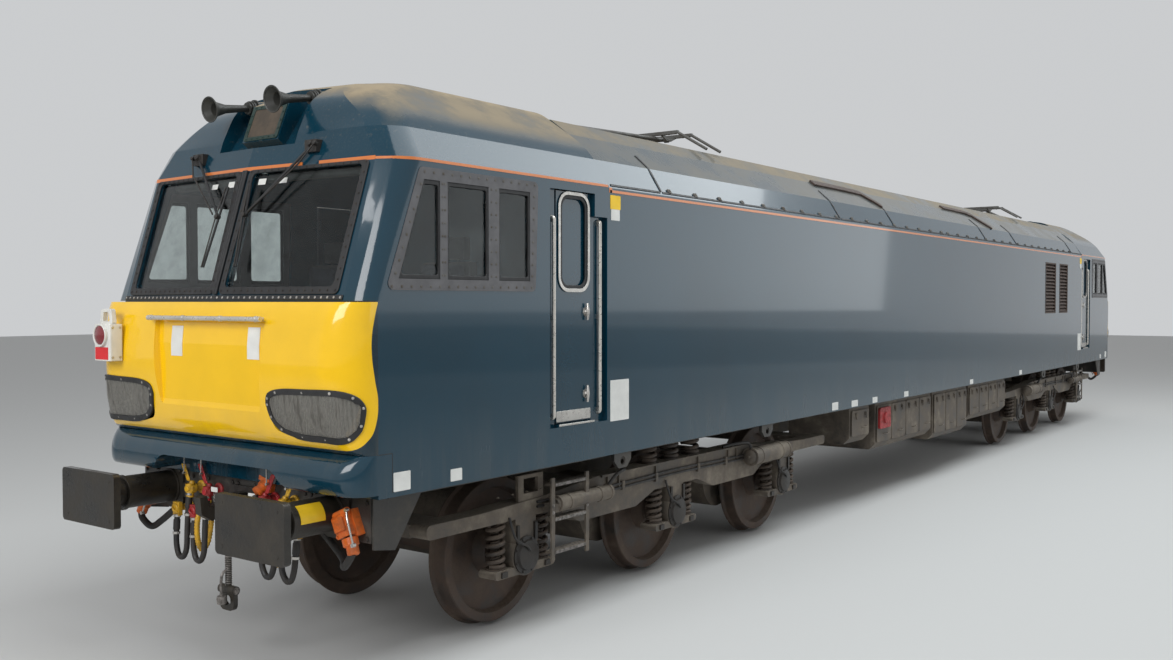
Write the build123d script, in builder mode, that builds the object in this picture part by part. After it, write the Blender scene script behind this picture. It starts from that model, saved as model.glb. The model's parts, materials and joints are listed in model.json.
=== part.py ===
# Electric locomotive, six axles, a cab at each end.
# Millimetres. +X forward (end 1), +Y left, +Z up, ground at the lowest point of the wheel flanges.
# The two ends are alike: everything at end 2 is the piece of end 1 turned half round about Z.
import os

from build123d import *

# Driving dimensions: rails and wheels
rail_top = 28.0
wheel_radius = 535.0
flange_radius = wheel_radius + rail_top
back_to_back = 1360.0
rim_width = 140.0
flange_width = 32.0
axle_radius = 95.0
journal_radius = 75.0
journal_end = 1135.0
journal_shoulder = 900.0
axle_height = flange_radius

# Driving dimensions: body
body_half_width = 1335.0
body_bottom = 1220.0
cantrail = 3260.0
cab_back = 7740.0
wall = 60.0
side_sheet = 40.0
cab_floor_top = 1490.0
cab_floor_thickness = 50.0
underframe_top = 1290.0
underframe_bottom = 1200.0
headstock_thickness = 80.0
headstock_bottom = 930.0

# Driving dimensions: ends
front_wall = 10100.0
nose_top = 2393.0
nose_bottom = 1485.0
valance_bottom = 1245.0
headstock_front = front_wall - wall
buffer_face = 10670.0
buffer_spread = 864.0
buffer_height = rail_top + 1055.0

# Driving dimensions: bogies
bogie_pivot = 6400.0
bogie_wheelbase = 4134.0
frame_inner = 955.0
frame_outer = 1115.0
running_gap = 0.3

# Driving dimensions: doors
door_front = 8360.0
door_rear = 7920.0
door_bottom = 1510.0
door_top = 3200.0
door_thickness = 45.0
door_recess = 35.0
door_gap = 6.0

# Driving dimensions: roof
roof_sheet = 40.0
hatch_seam = 3400.0
well_half_width = 700.0
well_floor = 3720.0

os.makedirs("parts", exist_ok=True)


def save(piece, label):
    """Name a finished piece and write it as a STEP file of its own."""
    piece.part.label = label
    export_step(piece.part, f"parts/{label}.step")


def turned(piece):
    """The same piece at the other end of the locomotive."""
    with BuildPart() as other:
        add(piece.part, rotation=(0, 0, 180))
    return other


def shell_outline(height, side_y, bend_x, crease, edge, centre, inset=0.0):
    """Plan outline of the cab: sides, rounded corner posts up to a crease, the screens' edge, the front."""
    with BuildSketch(Plane.XY.offset(height)) as outline:
        with BuildLine():
            Line((cab_back, -side_y), (cab_back, side_y))
            for hand in (1, -1):
                Line((cab_back, hand * side_y), (bend_x, hand * side_y))
                TangentArc((bend_x, hand * side_y), (crease[0], hand * crease[1]), tangent=(1, 0))
                Line((crease[0], hand * crease[1]), (edge[0], hand * edge[1]))
                Line((edge[0], hand * edge[1]), (centre, 0))
        make_face()
        if inset > 0:
            offset(amount=-inset, kind=Kind.INTERSECTION, mode=Mode.REPLACE)
    return outline


def shell_body(levels, inset=0.0, ruled=True):
    """A body between plan outlines drawn in by the inset, straight or smooth from one level to the next."""
    with BuildPart() as body:
        for level in levels:
            add(shell_outline(*level, inset).sketch)
        loft(ruled=ruled)
    return body


# Cab walls: the windscreen zone leans back from its foot to the cantrail
screen_foot = 2400.0
cab_top = cantrail + 15.0
screen_rake = 0.301
screen_sweep = 74.0
screen_foot_centre = 10282.0
screen_head_centre = screen_foot_centre - screen_rake * (cab_top - screen_foot)
screen_edge = 1155.0
corner_crease = 1235.0
cheek_foot = 10065.0
cheek_head = 9735.0


def cab_level(height, centre, bend_x, crease_drop):
    """One level of the cab walls, from its front on the centre line and where its corner posts begin."""
    crease = (centre - screen_sweep - crease_drop, corner_crease)
    return (height, body_half_width, bend_x, crease, (centre - screen_sweep, screen_edge), centre)


cab_levels = [
    cab_level(screen_foot, screen_foot_centre, cheek_foot, 14.0),
    cab_level(cab_top, screen_head_centre, cheek_head, 38.0),
]

# Windscreens: each pane as seen from ahead, (distance from the centre line, height)
pane_thickness = 12.0
pane_setback = 14.0
pane_outline = [(72, 2487), (1052, 2485), (1067, 3240), (85, 3238)]
pane_corner = 30.0
screen_cut_start = 9850.0
screen_cut_depth = 600.0

# Side windows of the cab: one bolted frame a side with three panes, (x, z)
frame_outline = [(8600, 3225), (9750, 3225), (10035, 2466), (8630, 2466)]
frame_corner = 40.0
frame_cut_in = 18.0
frame_stand = 6.0
frame_depth = 30.0
side_pane_inset = 12.0
side_pane_thickness = 8.0
side_panes = [
    [(8690, 2535), (9015, 2535), (9015, 3150), (8690, 3150)],
    [(9120, 2535), (9510, 2535), (9510, 3150), (9120, 3150)],
    [(9577, 2535), (9935, 2535), (9717, 3150), (9577, 3150)],
]

# Door recess with its handrail pockets
pocket_front = 8460.0
pocket_rear = cab_back + 20.0
pocket_top = 3030.0
pocket_depth = 42.0
door_window = (8140.0, 2830.0, 330.0, 680.0)
door_window_corner = 90.0
door_pane_inset = 15.0


def door_frame_points():
    lower = [(door_rear, door_bottom), (door_front, door_bottom)]
    upper = [(door_front, door_top), (door_rear, door_top)]
    return lower + upper


with BuildPart() as cab_shell_1:
    # The lower walls stand on the underframe, and the front wall is behind the nose
    with BuildSketch(Plane.XY.offset(body_bottom)):
        with Locations(((cab_back + front_wall) / 2, 0)):
            Rectangle(front_wall - cab_back, 2 * body_half_width)
    extrude(amount=screen_foot - body_bottom)
    add(shell_body(cab_levels).part)
    # The cab room, from the floor up to the roof
    add(shell_body(cab_levels, wall).part, mode=Mode.SUBTRACT)
    with BuildSketch(Plane.XY.offset(cab_floor_top)):
        with Locations(((cab_back + front_wall) / 2, 0)):
            Rectangle(front_wall - cab_back - 2 * wall, 2 * (body_half_width - wall))
    extrude(amount=screen_foot + 1 - cab_floor_top, mode=Mode.SUBTRACT)
    # The bulkhead runs the full height
    with BuildSketch(Plane.XY.offset(screen_foot)):
        with Locations((cab_back + wall / 2, 0)):
            Rectangle(wall, 2 * body_half_width)
    extrude(amount=cab_top - screen_foot)
    # The space under the floor
    with BuildSketch(Plane.XY.offset(body_bottom)):
        with Locations(((cab_back + front_wall - wall) / 2, 0)):
            Rectangle(front_wall - wall - cab_back, 2 * (body_half_width - wall))
    extrude(amount=cab_floor_top - cab_floor_thickness - body_bottom, mode=Mode.SUBTRACT)
    # Windscreen openings
    for side in (1, -1):
        with BuildSketch(Plane.YZ.offset(screen_cut_start)):
            with BuildLine():
                Polyline(*[(side * y, z) for y, z in pane_outline], close=True)
            make_face()
            fillet(vertices(), pane_corner)
        extrude(amount=screen_cut_depth, mode=Mode.SUBTRACT)
    # Side window openings, a little smaller than the frame that covers them
    with BuildSketch(Plane.XZ):
        with BuildLine():
            Polyline(*frame_outline, close=True)
        make_face()
        fillet(vertices(), frame_corner)
        offset(amount=-frame_cut_in, mode=Mode.REPLACE)
    extrude(amount=2 * body_half_width, both=True, mode=Mode.SUBTRACT)
    # Door openings, and the handrail pockets beside them
    with BuildSketch(Plane.XZ):
        with BuildLine():
            Polyline(*door_frame_points(), close=True)
        make_face()
    extrude(amount=2 * body_half_width, both=True, mode=Mode.SUBTRACT)
    for side in (1, -1):
        with BuildSketch(Plane.XZ.offset(-side * (body_half_width - pocket_depth))):
            with Locations(((pocket_rear + door_rear) / 2, (cab_floor_top + pocket_top) / 2)):
                Rectangle(door_rear - pocket_rear, pocket_top - cab_floor_top)
            with Locations(((pocket_front + door_front) / 2, (cab_floor_top + door_top) / 2)):
                Rectangle(pocket_front - door_front, door_top - cab_floor_top)
        extrude(amount=-side * 2 * pocket_depth, mode=Mode.SUBTRACT)

# Door hinges: pins on the jamb, knuckles on the leaf
hinge_x = door_front - door_gap
leaf_outer = body_half_width - door_recess
leaf_inner = leaf_outer - door_thickness
hinge_y = leaf_inner - 18.0
hinge_pin = 8.0
hinge_eye = 14.0
hinge_heights = (1700.0, 2400.0, 3050.0)
knuckle_height = 60.0
lug_height = 12.0
lug_block = (44.0, 42.0)
lug_block_offset = (30.0, 17.0)
knuckle_neck = (12.0, 18.0)
knuckle_neck_offset = (-8.0, 9.0)

with BuildPart() as hinge_lugs:
    for side in (1, -1):
        for height in hinge_heights:
            for lug in (-1, 1):
                base = height + lug * (knuckle_height + lug_height) / 2 - lug_height / 2
                with BuildSketch(Plane.XY.offset(base)):
                    with Locations((hinge_x, side * hinge_y)):
                        Circle(hinge_eye)
                    with Locations((hinge_x + lug_block_offset[0], side * (hinge_y + lug_block_offset[1]))):
                        Rectangle(*lug_block)
                    with BuildLine():
                        Polyline(
                            (hinge_x, side * (hinge_y - hinge_eye)),
                            (hinge_x + 10, side * (hinge_y - 4)),
                            (hinge_x + 10, side * (hinge_y + 10)),
                            (hinge_x, side * (hinge_y + hinge_eye)),
                            close=True,
                        )
                    make_face()
                extrude(amount=lug_height)
            with BuildSketch(Plane.XY.offset(height - knuckle_height / 2 - lug_height)):
                with Locations((hinge_x, side * hinge_y)):
                    Circle(hinge_pin)
            extrude(amount=knuckle_height + 2 * lug_height)

with BuildPart() as cab_shell_whole:
    add(cab_shell_1.part)
    add(hinge_lugs.part)

save(cab_shell_whole, "cab_shell_1")
save(turned(cab_shell_whole), "cab_shell_2")


def make_door(side):
    """One cab door leaf with its window, rim, handles and hinge knuckles."""
    with BuildPart() as leaf:
        mid_x = (door_front + door_rear) / 2
        width = door_front - door_rear - 2 * door_gap
        height = door_top - door_bottom - 2 * door_gap
        mid_z = (door_top + door_bottom) / 2
        inner_plane = Plane.XZ.offset(-side * leaf_inner)
        with BuildSketch(inner_plane):
            with Locations((mid_x - 2, mid_z)):
                Rectangle(width - 4, height)
        extrude(amount=-side * door_thickness)
        wx, wz, ww, wh = door_window
        with BuildSketch(inner_plane):
            with Locations((wx, wz)):
                RectangleRounded(ww, wh, door_window_corner)
        extrude(amount=-side * door_thickness, mode=Mode.SUBTRACT)
        with BuildSketch(Plane.XZ.offset(-side * (leaf_inner + door_pane_inset))):
            with Locations((wx, wz)):
                RectangleRounded(ww, wh, door_window_corner)
        extrude(amount=-side * pane_thickness)
        for height in hinge_heights:
            with BuildSketch(Plane.XY.offset(height - knuckle_height / 2 + running_gap)):
                with Locations((hinge_x, side * hinge_y)):
                    Circle(hinge_eye)
                with Locations((hinge_x + knuckle_neck_offset[0], side * (hinge_y + knuckle_neck_offset[1]))):
                    Rectangle(*knuckle_neck)
                with Locations((hinge_x, side * hinge_y)):
                    Circle(hinge_pin + running_gap, mode=Mode.SUBTRACT)
            extrude(amount=knuckle_height - 2 * running_gap)
    return leaf


doors_1 = {"left": make_door(1), "right": make_door(-1)}
for hand, leaf in doors_1.items():
    save(leaf, f"door_1_{hand}")
# Turned half round, the left door of end 1 becomes the right side of the body at end 2
save(turned(doors_1["left"]), "door_2_right")
save(turned(doors_1["right"]), "door_2_left")

# Side window frames and panes
with BuildPart() as window_frames_1:
    for side in (1, -1):
        with BuildSketch(Plane.XZ.offset(-side * body_half_width)):
            with BuildLine():
                Polyline(*frame_outline, close=True)
            make_face()
            fillet(vertices(), frame_corner)
            for pane in side_panes:
                with BuildLine():
                    Polyline(*pane, close=True)
                make_face(mode=Mode.SUBTRACT)
        extrude(amount=-side * frame_stand)
        with BuildSketch(Plane.XZ.offset(-side * body_half_width)):
            with BuildLine():
                Polyline(*frame_outline, close=True)
            make_face()
            fillet(vertices(), frame_corner)
            offset(amount=-frame_cut_in, mode=Mode.REPLACE)
            for pane in side_panes:
                with BuildLine():
                    Polyline(*pane, close=True)
                make_face(mode=Mode.SUBTRACT)
        extrude(amount=side * frame_depth)
with BuildPart() as window_frames:
    add(window_frames_1.part)
    add(turned(window_frames_1).part)
save(window_frames, "window_frames")

with BuildPart() as cab_glass_1:
    for side in (1, -1):
        with BuildSketch(Plane.YZ.offset(screen_cut_start)):
            with BuildLine():
                Polyline(*[(side * y, z) for y, z in pane_outline], close=True)
            make_face()
            fillet(vertices(), pane_corner)
        extrude(amount=screen_cut_depth)
    add(shell_body(cab_levels, pane_setback).part, mode=Mode.INTERSECT)
    add(shell_body(cab_levels, pane_setback + pane_thickness).part, mode=Mode.SUBTRACT)
    for side in (1, -1):
        with BuildSketch(Plane.XZ.offset(-side * (body_half_width - side_pane_inset))):
            for pane in side_panes:
                with BuildLine():
                    Polyline(*pane, close=True)
                make_face()
        extrude(amount=side * side_pane_thickness)
with BuildPart() as cab_glass:
    add(cab_glass_1.part)
    add(turned(cab_glass_1).part)
save(cab_glass, "cab_glass")

# Cab roof: a straight cheek from the cantrail to the dome's edge, then the doubly curved dome
dome_levels = [
    cab_levels[1],
    (3485.0, 1195.0, 9700.0, (9848.0, 1110.0), (9893.0, 1000.0), 9945.0),
    (3600.0, 1085.0, 9640.0, (9790.0, 985.0), (9835.0, 880.0), 9903.0),
    (3700.0, 950.0, 9560.0, (9730.0, 830.0), (9785.0, 720.0), 9855.0),
    (3780.0, 830.0, 9450.0, (9640.0, 690.0), (9700.0, 590.0), 9778.0),
    (3850.0, 725.0, 9290.0, (9490.0, 580.0), (9550.0, 480.0), 9630.0),
    (3905.0, 600.0, 9080.0, (9280.0, 440.0), (9350.0, 340.0), 9410.0),
    (3945.0, 400.0, 8760.0, (8940.0, 260.0), (8990.0, 190.0), 9040.0),
]
headroom_levels = [dome_levels[0], dome_levels[1], dome_levels[3], dome_levels[4]]
dome_sheet = 60.0
with BuildPart() as dome:
    add(shell_body(dome_levels[:2]).part)
    add(shell_body(dome_levels[1:], ruled=False).part)

# Horn niche in the dome's front, with a raised housing between the two horns
niche_half = 400.0
niche_foot = (9870.0, 3420.0)
niche_head = (9620.0, 3800.0)
niche_sheet = 50.0
housing_half = 190.0
housing_outline = [(9860, 3435), (9915, 3475), (9815, 3735), (9700, 3790), (9600, 3800)]
horn_y = 334.0
horn_mouth = (10067.0, 3698.0)
horn_throat = (9709.0, 3756.0)
horn_boss_radius = 42.0
horn_boss_length = 150.0
with BuildPart() as cab_roof_1:
    add(dome.part)
    # The headroom under the dome
    add(shell_body(headroom_levels, dome_sheet).part, mode=Mode.SUBTRACT)
    # The niche's own walls, then the niche
    with BuildPart(mode=Mode.PRIVATE) as niche_walls:
        with BuildSketch(Plane.XZ.offset(-(niche_half + niche_sheet))):
            with BuildLine():
                Polyline(
                    (niche_foot[0] - niche_sheet, niche_foot[1] - niche_sheet),
                    (niche_head[0] - niche_sheet, niche_head[1] + niche_sheet),
                    (niche_foot[0] + 300, niche_head[1] + niche_sheet),
                    (niche_foot[0] + 300, niche_foot[1] - niche_sheet),
                    close=True,
                )
            make_face()
        extrude(amount=2 * (niche_half + niche_sheet))
        add(dome.part, mode=Mode.INTERSECT)
    add(niche_walls.part)
    with BuildSketch(Plane.XZ.offset(-niche_half)):
        with BuildLine():
            Polyline(
                niche_foot, niche_head, (niche_head[0] + 40, niche_head[1] + 200),
                (niche_foot[0] + 300, niche_head[1] + 200), (niche_foot[0] + 300, niche_foot[1]),
                close=True,
            )
        make_face()
    extrude(amount=2 * niche_half, mode=Mode.SUBTRACT)
    with BuildSketch(Plane.XZ.offset(-housing_half)):
        with BuildLine():
            Polyline(*housing_outline, (niche_head[0] - 20, niche_head[1] - 40), close=True)
        make_face()
    extrude(amount=2 * housing_half)
    # Bosses that carry the horns
    for side in (1, -1):
        horn_direction = (horn_mouth[0] - horn_throat[0], 0, horn_mouth[1] - horn_throat[1])
        with BuildSketch(Plane(origin=(horn_throat[0], side * horn_y, horn_throat[1]), z_dir=horn_direction)):
            Circle(horn_boss_radius)
        extrude(amount=-horn_boss_length)
save(cab_roof_1, "cab_roof_1")
save(turned(cab_roof_1), "cab_roof_2")

# Body walls between the cabs, with the openings of the louvre pair near end 2
louvre_openings = [(-5455.0, 2625.0, 690.0, 870.0), (-6360.0, 2625.0, 580.0, 870.0)]
louvre_frame = 25.0
with BuildPart() as body_side_left:
    with BuildSketch(Plane.XZ.offset(-(body_half_width - side_sheet))):
        with Locations((0, (body_bottom + cantrail) / 2)):
            Rectangle(2 * cab_back, cantrail - body_bottom)
        for x, z, width, height in louvre_openings:
            with Locations((x, z)):
                Rectangle(width, height, mode=Mode.SUBTRACT)
    extrude(amount=-side_sheet)
save(body_side_left, "body_side_left")
save(turned(body_side_left), "body_side_right")

slat_pitch = 58.0
slat_thickness = 6.0
with BuildPart() as grilles_left:
    for x, z, width, height in louvre_openings:
        with BuildSketch(Plane.XZ.offset(-(body_half_width - side_sheet))):
            with Locations((x, z)):
                Rectangle(width, height)
                Rectangle(width - 2 * louvre_frame, height - 2 * louvre_frame, mode=Mode.SUBTRACT)
        extrude(amount=-(side_sheet + 4))
        slats = int((height - 2 * louvre_frame) / slat_pitch)
        for index in range(slats):
            slat_z = z + (index - (slats - 1) / 2) * slat_pitch
            with BuildSketch(Plane.YZ.offset(x - width / 2 + louvre_frame)):
                with BuildLine():
                    Polyline(
                        (body_half_width - side_sheet, slat_z + 24),
                        (body_half_width - 2, slat_z - 24),
                        (body_half_width - 2, slat_z - 24 + slat_thickness),
                        (body_half_width - side_sheet, slat_z + 24 + slat_thickness),
                        close=True,
                    )
                make_face()
            extrude(amount=width - 2 * louvre_frame)
with BuildPart() as side_grilles:
    add(grilles_left.part)
    add(turned(grilles_left).part)
save(side_grilles, "side_grilles")

# Roof sections between the cabs
slope_section = [(body_half_width, cantrail), (1195.0, 3485.0), (950.0, 3700.0), (770.0, 3830.0)]
well_section = slope_section + [(well_half_width, 3830.0), (well_half_width, well_floor), (0.0, well_floor)]
crown_section = slope_section + [(560.0, 3872.0), (0.0, 3890.0)]


def roof_section(start, end, section):
    """A folded roof sheet: its outer section, less the same section drawn in."""
    whole = section + [(-y, z) for y, z in reversed(section) if y > 0]
    with BuildPart() as sheet:
        with BuildSketch(Plane.YZ.offset(start)):
            with BuildLine():
                Polyline(*whole, close=True)
            make_face()
        extrude(amount=end - start)
        with BuildSketch(Plane.YZ.offset(start)) as inner:
            with BuildLine():
                Polyline(*whole, close=True)
            make_face()
            offset(amount=-roof_sheet, kind=Kind.INTERSECTION, mode=Mode.REPLACE)
            with Locations((0, cantrail + roof_sheet / 2)):
                Rectangle(2 * (body_half_width - 2 * roof_sheet), roof_sheet + 10)
        extrude(amount=end - start, mode=Mode.SUBTRACT)
    return sheet


hatch_1 = roof_section(hatch_seam, cab_back, well_section)
save(hatch_1, "roof_hatch_1")
save(turned(hatch_1), "roof_hatch_3")
hatch_2 = roof_section(-hatch_seam, hatch_seam, crown_section)
save(hatch_2, "roof_hatch_2")

# Nose: level, front on the centre line, radius of its upright corners
nose_levels = [
    (nose_bottom, 10195.0, 85.0),
    (1530.0, 10262.0, 150.0),
    (1610.0, 10303.0, 190.0),
    (1850.0, 10350.0, 235.0),
    (2120.0, 10352.0, 235.0),
    (2310.0, 10322.0, 205.0),
    (nose_top, 10283.0, 170.0),
]


def front_outline(height, front, corner, grow=0.0):
    """Plan outline of a moulding on the front wall, rounded at its two upright corners."""
    half = body_half_width + grow
    reach = front + grow
    radius = corner + grow
    with BuildSketch(Plane.XY.offset(height)) as outline:
        with BuildLine():
            Line((front_wall, -half), (front_wall, half))
            Line((front_wall, half), (reach - radius, half))
            RadiusArc((reach - radius, half), (reach, half - radius), radius)
            Line((reach, half - radius), (reach, radius - half))
            RadiusArc((reach, radius - half), (reach - radius, -half), radius)
            Line((reach - radius, -half), (front_wall, -half))
        make_face()
    return outline


def front_body(levels, grow=0.0, ruled=False):
    """A moulding through its levels, smooth or straight between them, and grown outwards if asked."""
    with BuildPart() as body:
        for level in levels:
            add(front_outline(*level, grow).sketch)
        loft(ruled=ruled)
    return body


# The recess in the nose: height, half width and depth plane, with a sloped lip at its foot
recess_levels = [
    (1640.0, 500.0, 10348.0),
    (1745.0, 545.0, 10316.0),
    (2120.0, 578.0, 10316.0),
    (2275.0, 590.0, 10300.0),
]
recess_flare = 13.0
recess_mouth = 10420.0

# Lamp clusters as seen from ahead: (distance from the centre line, height)
lamp_outline = [(610, 1765), (695, 1866), (1262, 1866), (1318, 1785), (1232, 1572), (800, 1574), (640, 1610)]
lamp_corner = 78.0
lamp_rim = 45.0
lamp_depth = 70.0
lamp_stand = 10.0
lamp_skin_levels = [
    (1530.0, 10262.0, 150.0),
    (1610.0, 10303.0, 190.0),
    (1730.0, 10333.0, 216.0),
    (1900.0, 10354.0, 238.0),
]


def lamp_face(side, inset=0.0):
    """The outline of one lamp cluster with soft corners, drawn in by the inset."""
    with BuildSketch(Plane.YZ.offset(front_wall)) as face:
        with BuildLine():
            Polyline(*[(side * y, z) for y, z in lamp_outline], close=True)
        make_face()
        fillet(vertices(), lamp_corner)
        if inset > 0:
            offset(amount=-inset, mode=Mode.REPLACE)
    return face


with BuildPart() as recess:
    for height, half, depth_plane in recess_levels:
        with BuildSketch(Plane.XY.offset(height)):
            with BuildLine():
                Polyline(
                    (depth_plane, recess_flare - half),
                    (depth_plane, half - recess_flare),
                    (recess_mouth, half + recess_flare),
                    (recess_mouth, -half - recess_flare),
                    close=True,
                )
            make_face()
    loft(ruled=True)

with BuildPart() as nose_1:
    add(front_body(nose_levels).part)
    add(recess.part, mode=Mode.SUBTRACT)
    for side in (1, -1):
        extrude(lamp_face(side).sketch, amount=400, mode=Mode.SUBTRACT)
save(nose_1, "nose_1")
save(turned(nose_1), "nose_2")


def lamp_solid(outline_inset, depth_front, depth_back):
    """Both lamp clusters between two skins that follow the nose."""
    with BuildPart() as lamps:
        for side in (1, -1):
            extrude(lamp_face(side, outline_inset).sketch, amount=400)
        add(front_body(lamp_skin_levels, depth_front, ruled=True).part, mode=Mode.INTERSECT)
        if depth_back is not None:
            add(front_body(lamp_skin_levels, -depth_back, ruled=True).part, mode=Mode.SUBTRACT)
    return lamps


lamp_bodies = lamp_solid(0.0, lamp_stand, None)
lamp_bowls = lamp_solid(lamp_rim, 2 * lamp_stand, lamp_depth)
with BuildPart() as lamp_frames_1:
    add(lamp_bodies.part)
    add(lamp_bowls.part, mode=Mode.SUBTRACT)
lamp_panes = lamp_solid(lamp_rim, -2.0, 10.0)
with BuildPart() as lamp_frames:
    add(lamp_frames_1.part)
    add(turned(lamp_frames_1).part)
save(lamp_frames, "lamp_frames")
with BuildPart() as lamp_glass:
    add(lamp_panes.part)
    add(turned(lamp_panes).part)
save(lamp_glass, "lamp_glass")

# Valance under the nose: level, front, radius of its upright corners
valance_levels = [
    (valance_bottom, 10262.0, 150.0),
    (1262.0, 10284.0, 172.0),
    (1310.0, 10302.0, 190.0),
    (1380.0, 10296.0, 184.0),
    (1440.0, 10262.0, 150.0),
    (nose_bottom, 10205.0, 95.0),
]
# Its lower edge as seen from ahead: raised between the buffers, then an S down to the corners
valance_lift = (545.0, 1357.0)
valance_turn = (650.0, 1300.0)
valance_drop = (770.0, 1200.0)
with BuildPart() as valance_1:
    add(front_body(valance_levels).part)
    with BuildSketch(Plane.YZ.offset(front_wall - 10)):
        with BuildLine():
            Line((-valance_lift[0], valance_lift[1]), valance_lift)
            for side in (1, -1):
                turn = (side * valance_turn[0], valance_turn[1])
                TangentArc((side * valance_lift[0], valance_lift[1]), turn, tangent=(side, 0))
                Line(turn, (side * valance_drop[0], valance_drop[1]))
            Line((-valance_drop[0], valance_drop[1]), valance_drop)
        make_face()
    extrude(amount=400, mode=Mode.SUBTRACT)
save(valance_1, "valance_1")
save(turned(valance_1), "valance_2")

# Underframe: floor plate, headstocks, pivot posts, deflectors and lifting brackets
pivot_post_radius = 150.0
pivot_post_bottom = 800.0
lifting_brackets = (7535.0, 5090.0)
bracket_width = 230.0
bracket_foot = 1100.0
bracket_hole = 35.0
deflector_inner = 1200.0
deflector_thickness = 12.0
deflector_top = underframe_bottom - running_gap
deflector_outline = [(9615, deflector_top), (10030, deflector_top), (10030, 890), (9850, 860)]
headstock_back = headstock_front - headstock_thickness
headstock_half_width = deflector_inner - running_gap
with BuildPart() as underframe_half:
    with BuildSketch(Plane.XY.offset(underframe_bottom)):
        with Locations(((headstock_back - running_gap) / 2, 0)):
            Rectangle(headstock_back - running_gap, 2 * (body_half_width - wall))
    extrude(amount=underframe_top - underframe_bottom)
    with BuildSketch(Plane.YZ.offset(headstock_front)):
        with Locations((0, (headstock_bottom + underframe_top) / 2)):
            Rectangle(2 * headstock_half_width, underframe_top - headstock_bottom)
    extrude(amount=-headstock_thickness)
    with BuildSketch(Plane.XY.offset(underframe_bottom - running_gap)):
        with Locations((bogie_pivot, 0)):
            Circle(pivot_post_radius)
    extrude(amount=-(underframe_bottom - running_gap - pivot_post_bottom))
    for side in (1, -1):
        with BuildSketch(Plane.XZ.offset(-side * deflector_inner)):
            with BuildLine():
                Polyline(*deflector_outline, close=True)
            make_face()
        extrude(amount=-side * deflector_thickness)
        for x in lifting_brackets:
            with BuildSketch(Plane.XZ.offset(-side * (body_half_width - side_sheet))):
                with BuildLine():
                    Polyline(
                        (x - bracket_width / 2, body_bottom),
                        (x - bracket_width / 2, bracket_foot + 60),
                        (x - bracket_width / 2 + 60, bracket_foot),
                        (x + bracket_width / 2 - 60, bracket_foot),
                        (x + bracket_width / 2, bracket_foot + 60),
                        (x + bracket_width / 2, body_bottom),
                        close=True,
                    )
                make_face()
                with Locations((x, bracket_foot + 55)):
                    Circle(bracket_hole, mode=Mode.SUBTRACT)
            extrude(amount=-side * 30)
with BuildPart() as underframe:
    add(underframe_half.part)
    add(turned(underframe_half).part)
save(underframe, "underframe")

# Buffers: housing, plunger and a rectangular head
head_width = 640.0
head_height = 362.0
head_thickness = 48.0
housing_radius = 112.0
housing_flange = 132.0
housing_length = 390.0
plunger_radius = 88.0
with BuildPart() as buffers_1:
    for side in (1, -1):
        with BuildSketch(Plane.YZ.offset(headstock_front)):
            with Locations((side * buffer_spread, buffer_height)):
                Circle(housing_flange)
        extrude(amount=30)
        with BuildSketch(Plane.YZ.offset(headstock_front)):
            with Locations((side * buffer_spread, buffer_height)):
                Circle(housing_radius)
        extrude(amount=housing_length)
        with BuildSketch(Plane.YZ.offset(headstock_front + housing_length)):
            with Locations((side * buffer_spread, buffer_height)):
                Circle(plunger_radius)
        extrude(amount=buffer_face - head_thickness - headstock_front - housing_length)
        with BuildSketch(Plane.YZ.offset(buffer_face)):
            with Locations((side * buffer_spread, buffer_height)):
                RectangleRounded(head_width, head_height, 28)
        extrude(amount=-head_thickness)
with BuildPart() as buffers:
    add(buffers_1.part)
    add(turned(buffers_1).part)
save(buffers, "buffers")

# Draw gear: the hook, and the screw coupling that hangs from its pin
hook_height = rail_top + 1040.0
hook_half_thickness = 32.0
coupling_pin = (headstock_front + 150.0, hook_height - 8.0)
coupling_pin_radius = 22.0
coupling_pin_half = 78.0
link_radius = 17.0
link_spread = 62.0
trunnion_height = 765.0
trunnion_radius = 30.0
trunnion_half = 80.0
screw_radius = 20.0
screw_foot = 470.0
bail_half = 75.0
bail_foot = 365.0
bail_corner = 45.0
hook_outline = [
    (0, -60), (190, -60), (290, -90), (370, -40), (380, 70),
    (330, 80), (310, 5), (230, 20), (190, 60), (0, 60),
]
with BuildPart() as draw_gear_1:
    with BuildSketch(Plane.XZ):
        with BuildLine():
            Polyline(*[(headstock_front + x, hook_height + z) for x, z in hook_outline], close=True)
        make_face()
    extrude(amount=hook_half_thickness, both=True)
    # The pin in the hook and the two links down to the upper trunnion
    with BuildSketch(Plane.XZ):
        with Locations(coupling_pin):
            Circle(coupling_pin_radius)
    extrude(amount=coupling_pin_half, both=True)
    for side in (1, -1):
        with BuildSketch(Plane.XY.offset(trunnion_height)):
            with Locations((coupling_pin[0], side * link_spread)):
                Circle(link_radius)
        extrude(amount=coupling_pin[1] - trunnion_height)
    # The screw between its two trunnions
    with BuildSketch(Plane.XY.offset(screw_foot)):
        with Locations((coupling_pin[0], 0)):
            Circle(screw_radius)
    extrude(amount=trunnion_height - screw_foot)
    for height in (trunnion_height, screw_foot + trunnion_radius):
        with BuildSketch(Plane.XZ):
            with Locations((coupling_pin[0], height)):
                Circle(trunnion_radius)
        extrude(amount=trunnion_half, both=True)
    # The loop that goes over the next vehicle's hook
    with BuildSketch(Plane.YZ.offset(coupling_pin[0])):
        bail_top = screw_foot + trunnion_radius
        with Locations((0, (bail_top + bail_foot) / 2)):
            RectangleRounded(2 * bail_half, bail_top - bail_foot, bail_corner)
            RectangleRounded(
                2 * (bail_half - 2 * link_radius),
                bail_top - bail_foot - 4 * link_radius,
                bail_corner - link_radius,
                mode=Mode.SUBTRACT,
            )
    extrude(amount=link_radius, both=True)
with BuildPart() as draw_gear:
    add(draw_gear_1.part)
    add(turned(draw_gear_1).part)
save(draw_gear, "draw_gear")

# Wheelsets
axle_positions = [
    end * bogie_pivot + step * bogie_wheelbase / 2 for end in (1, -1) for step in (end, 0, -end)
]


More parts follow.
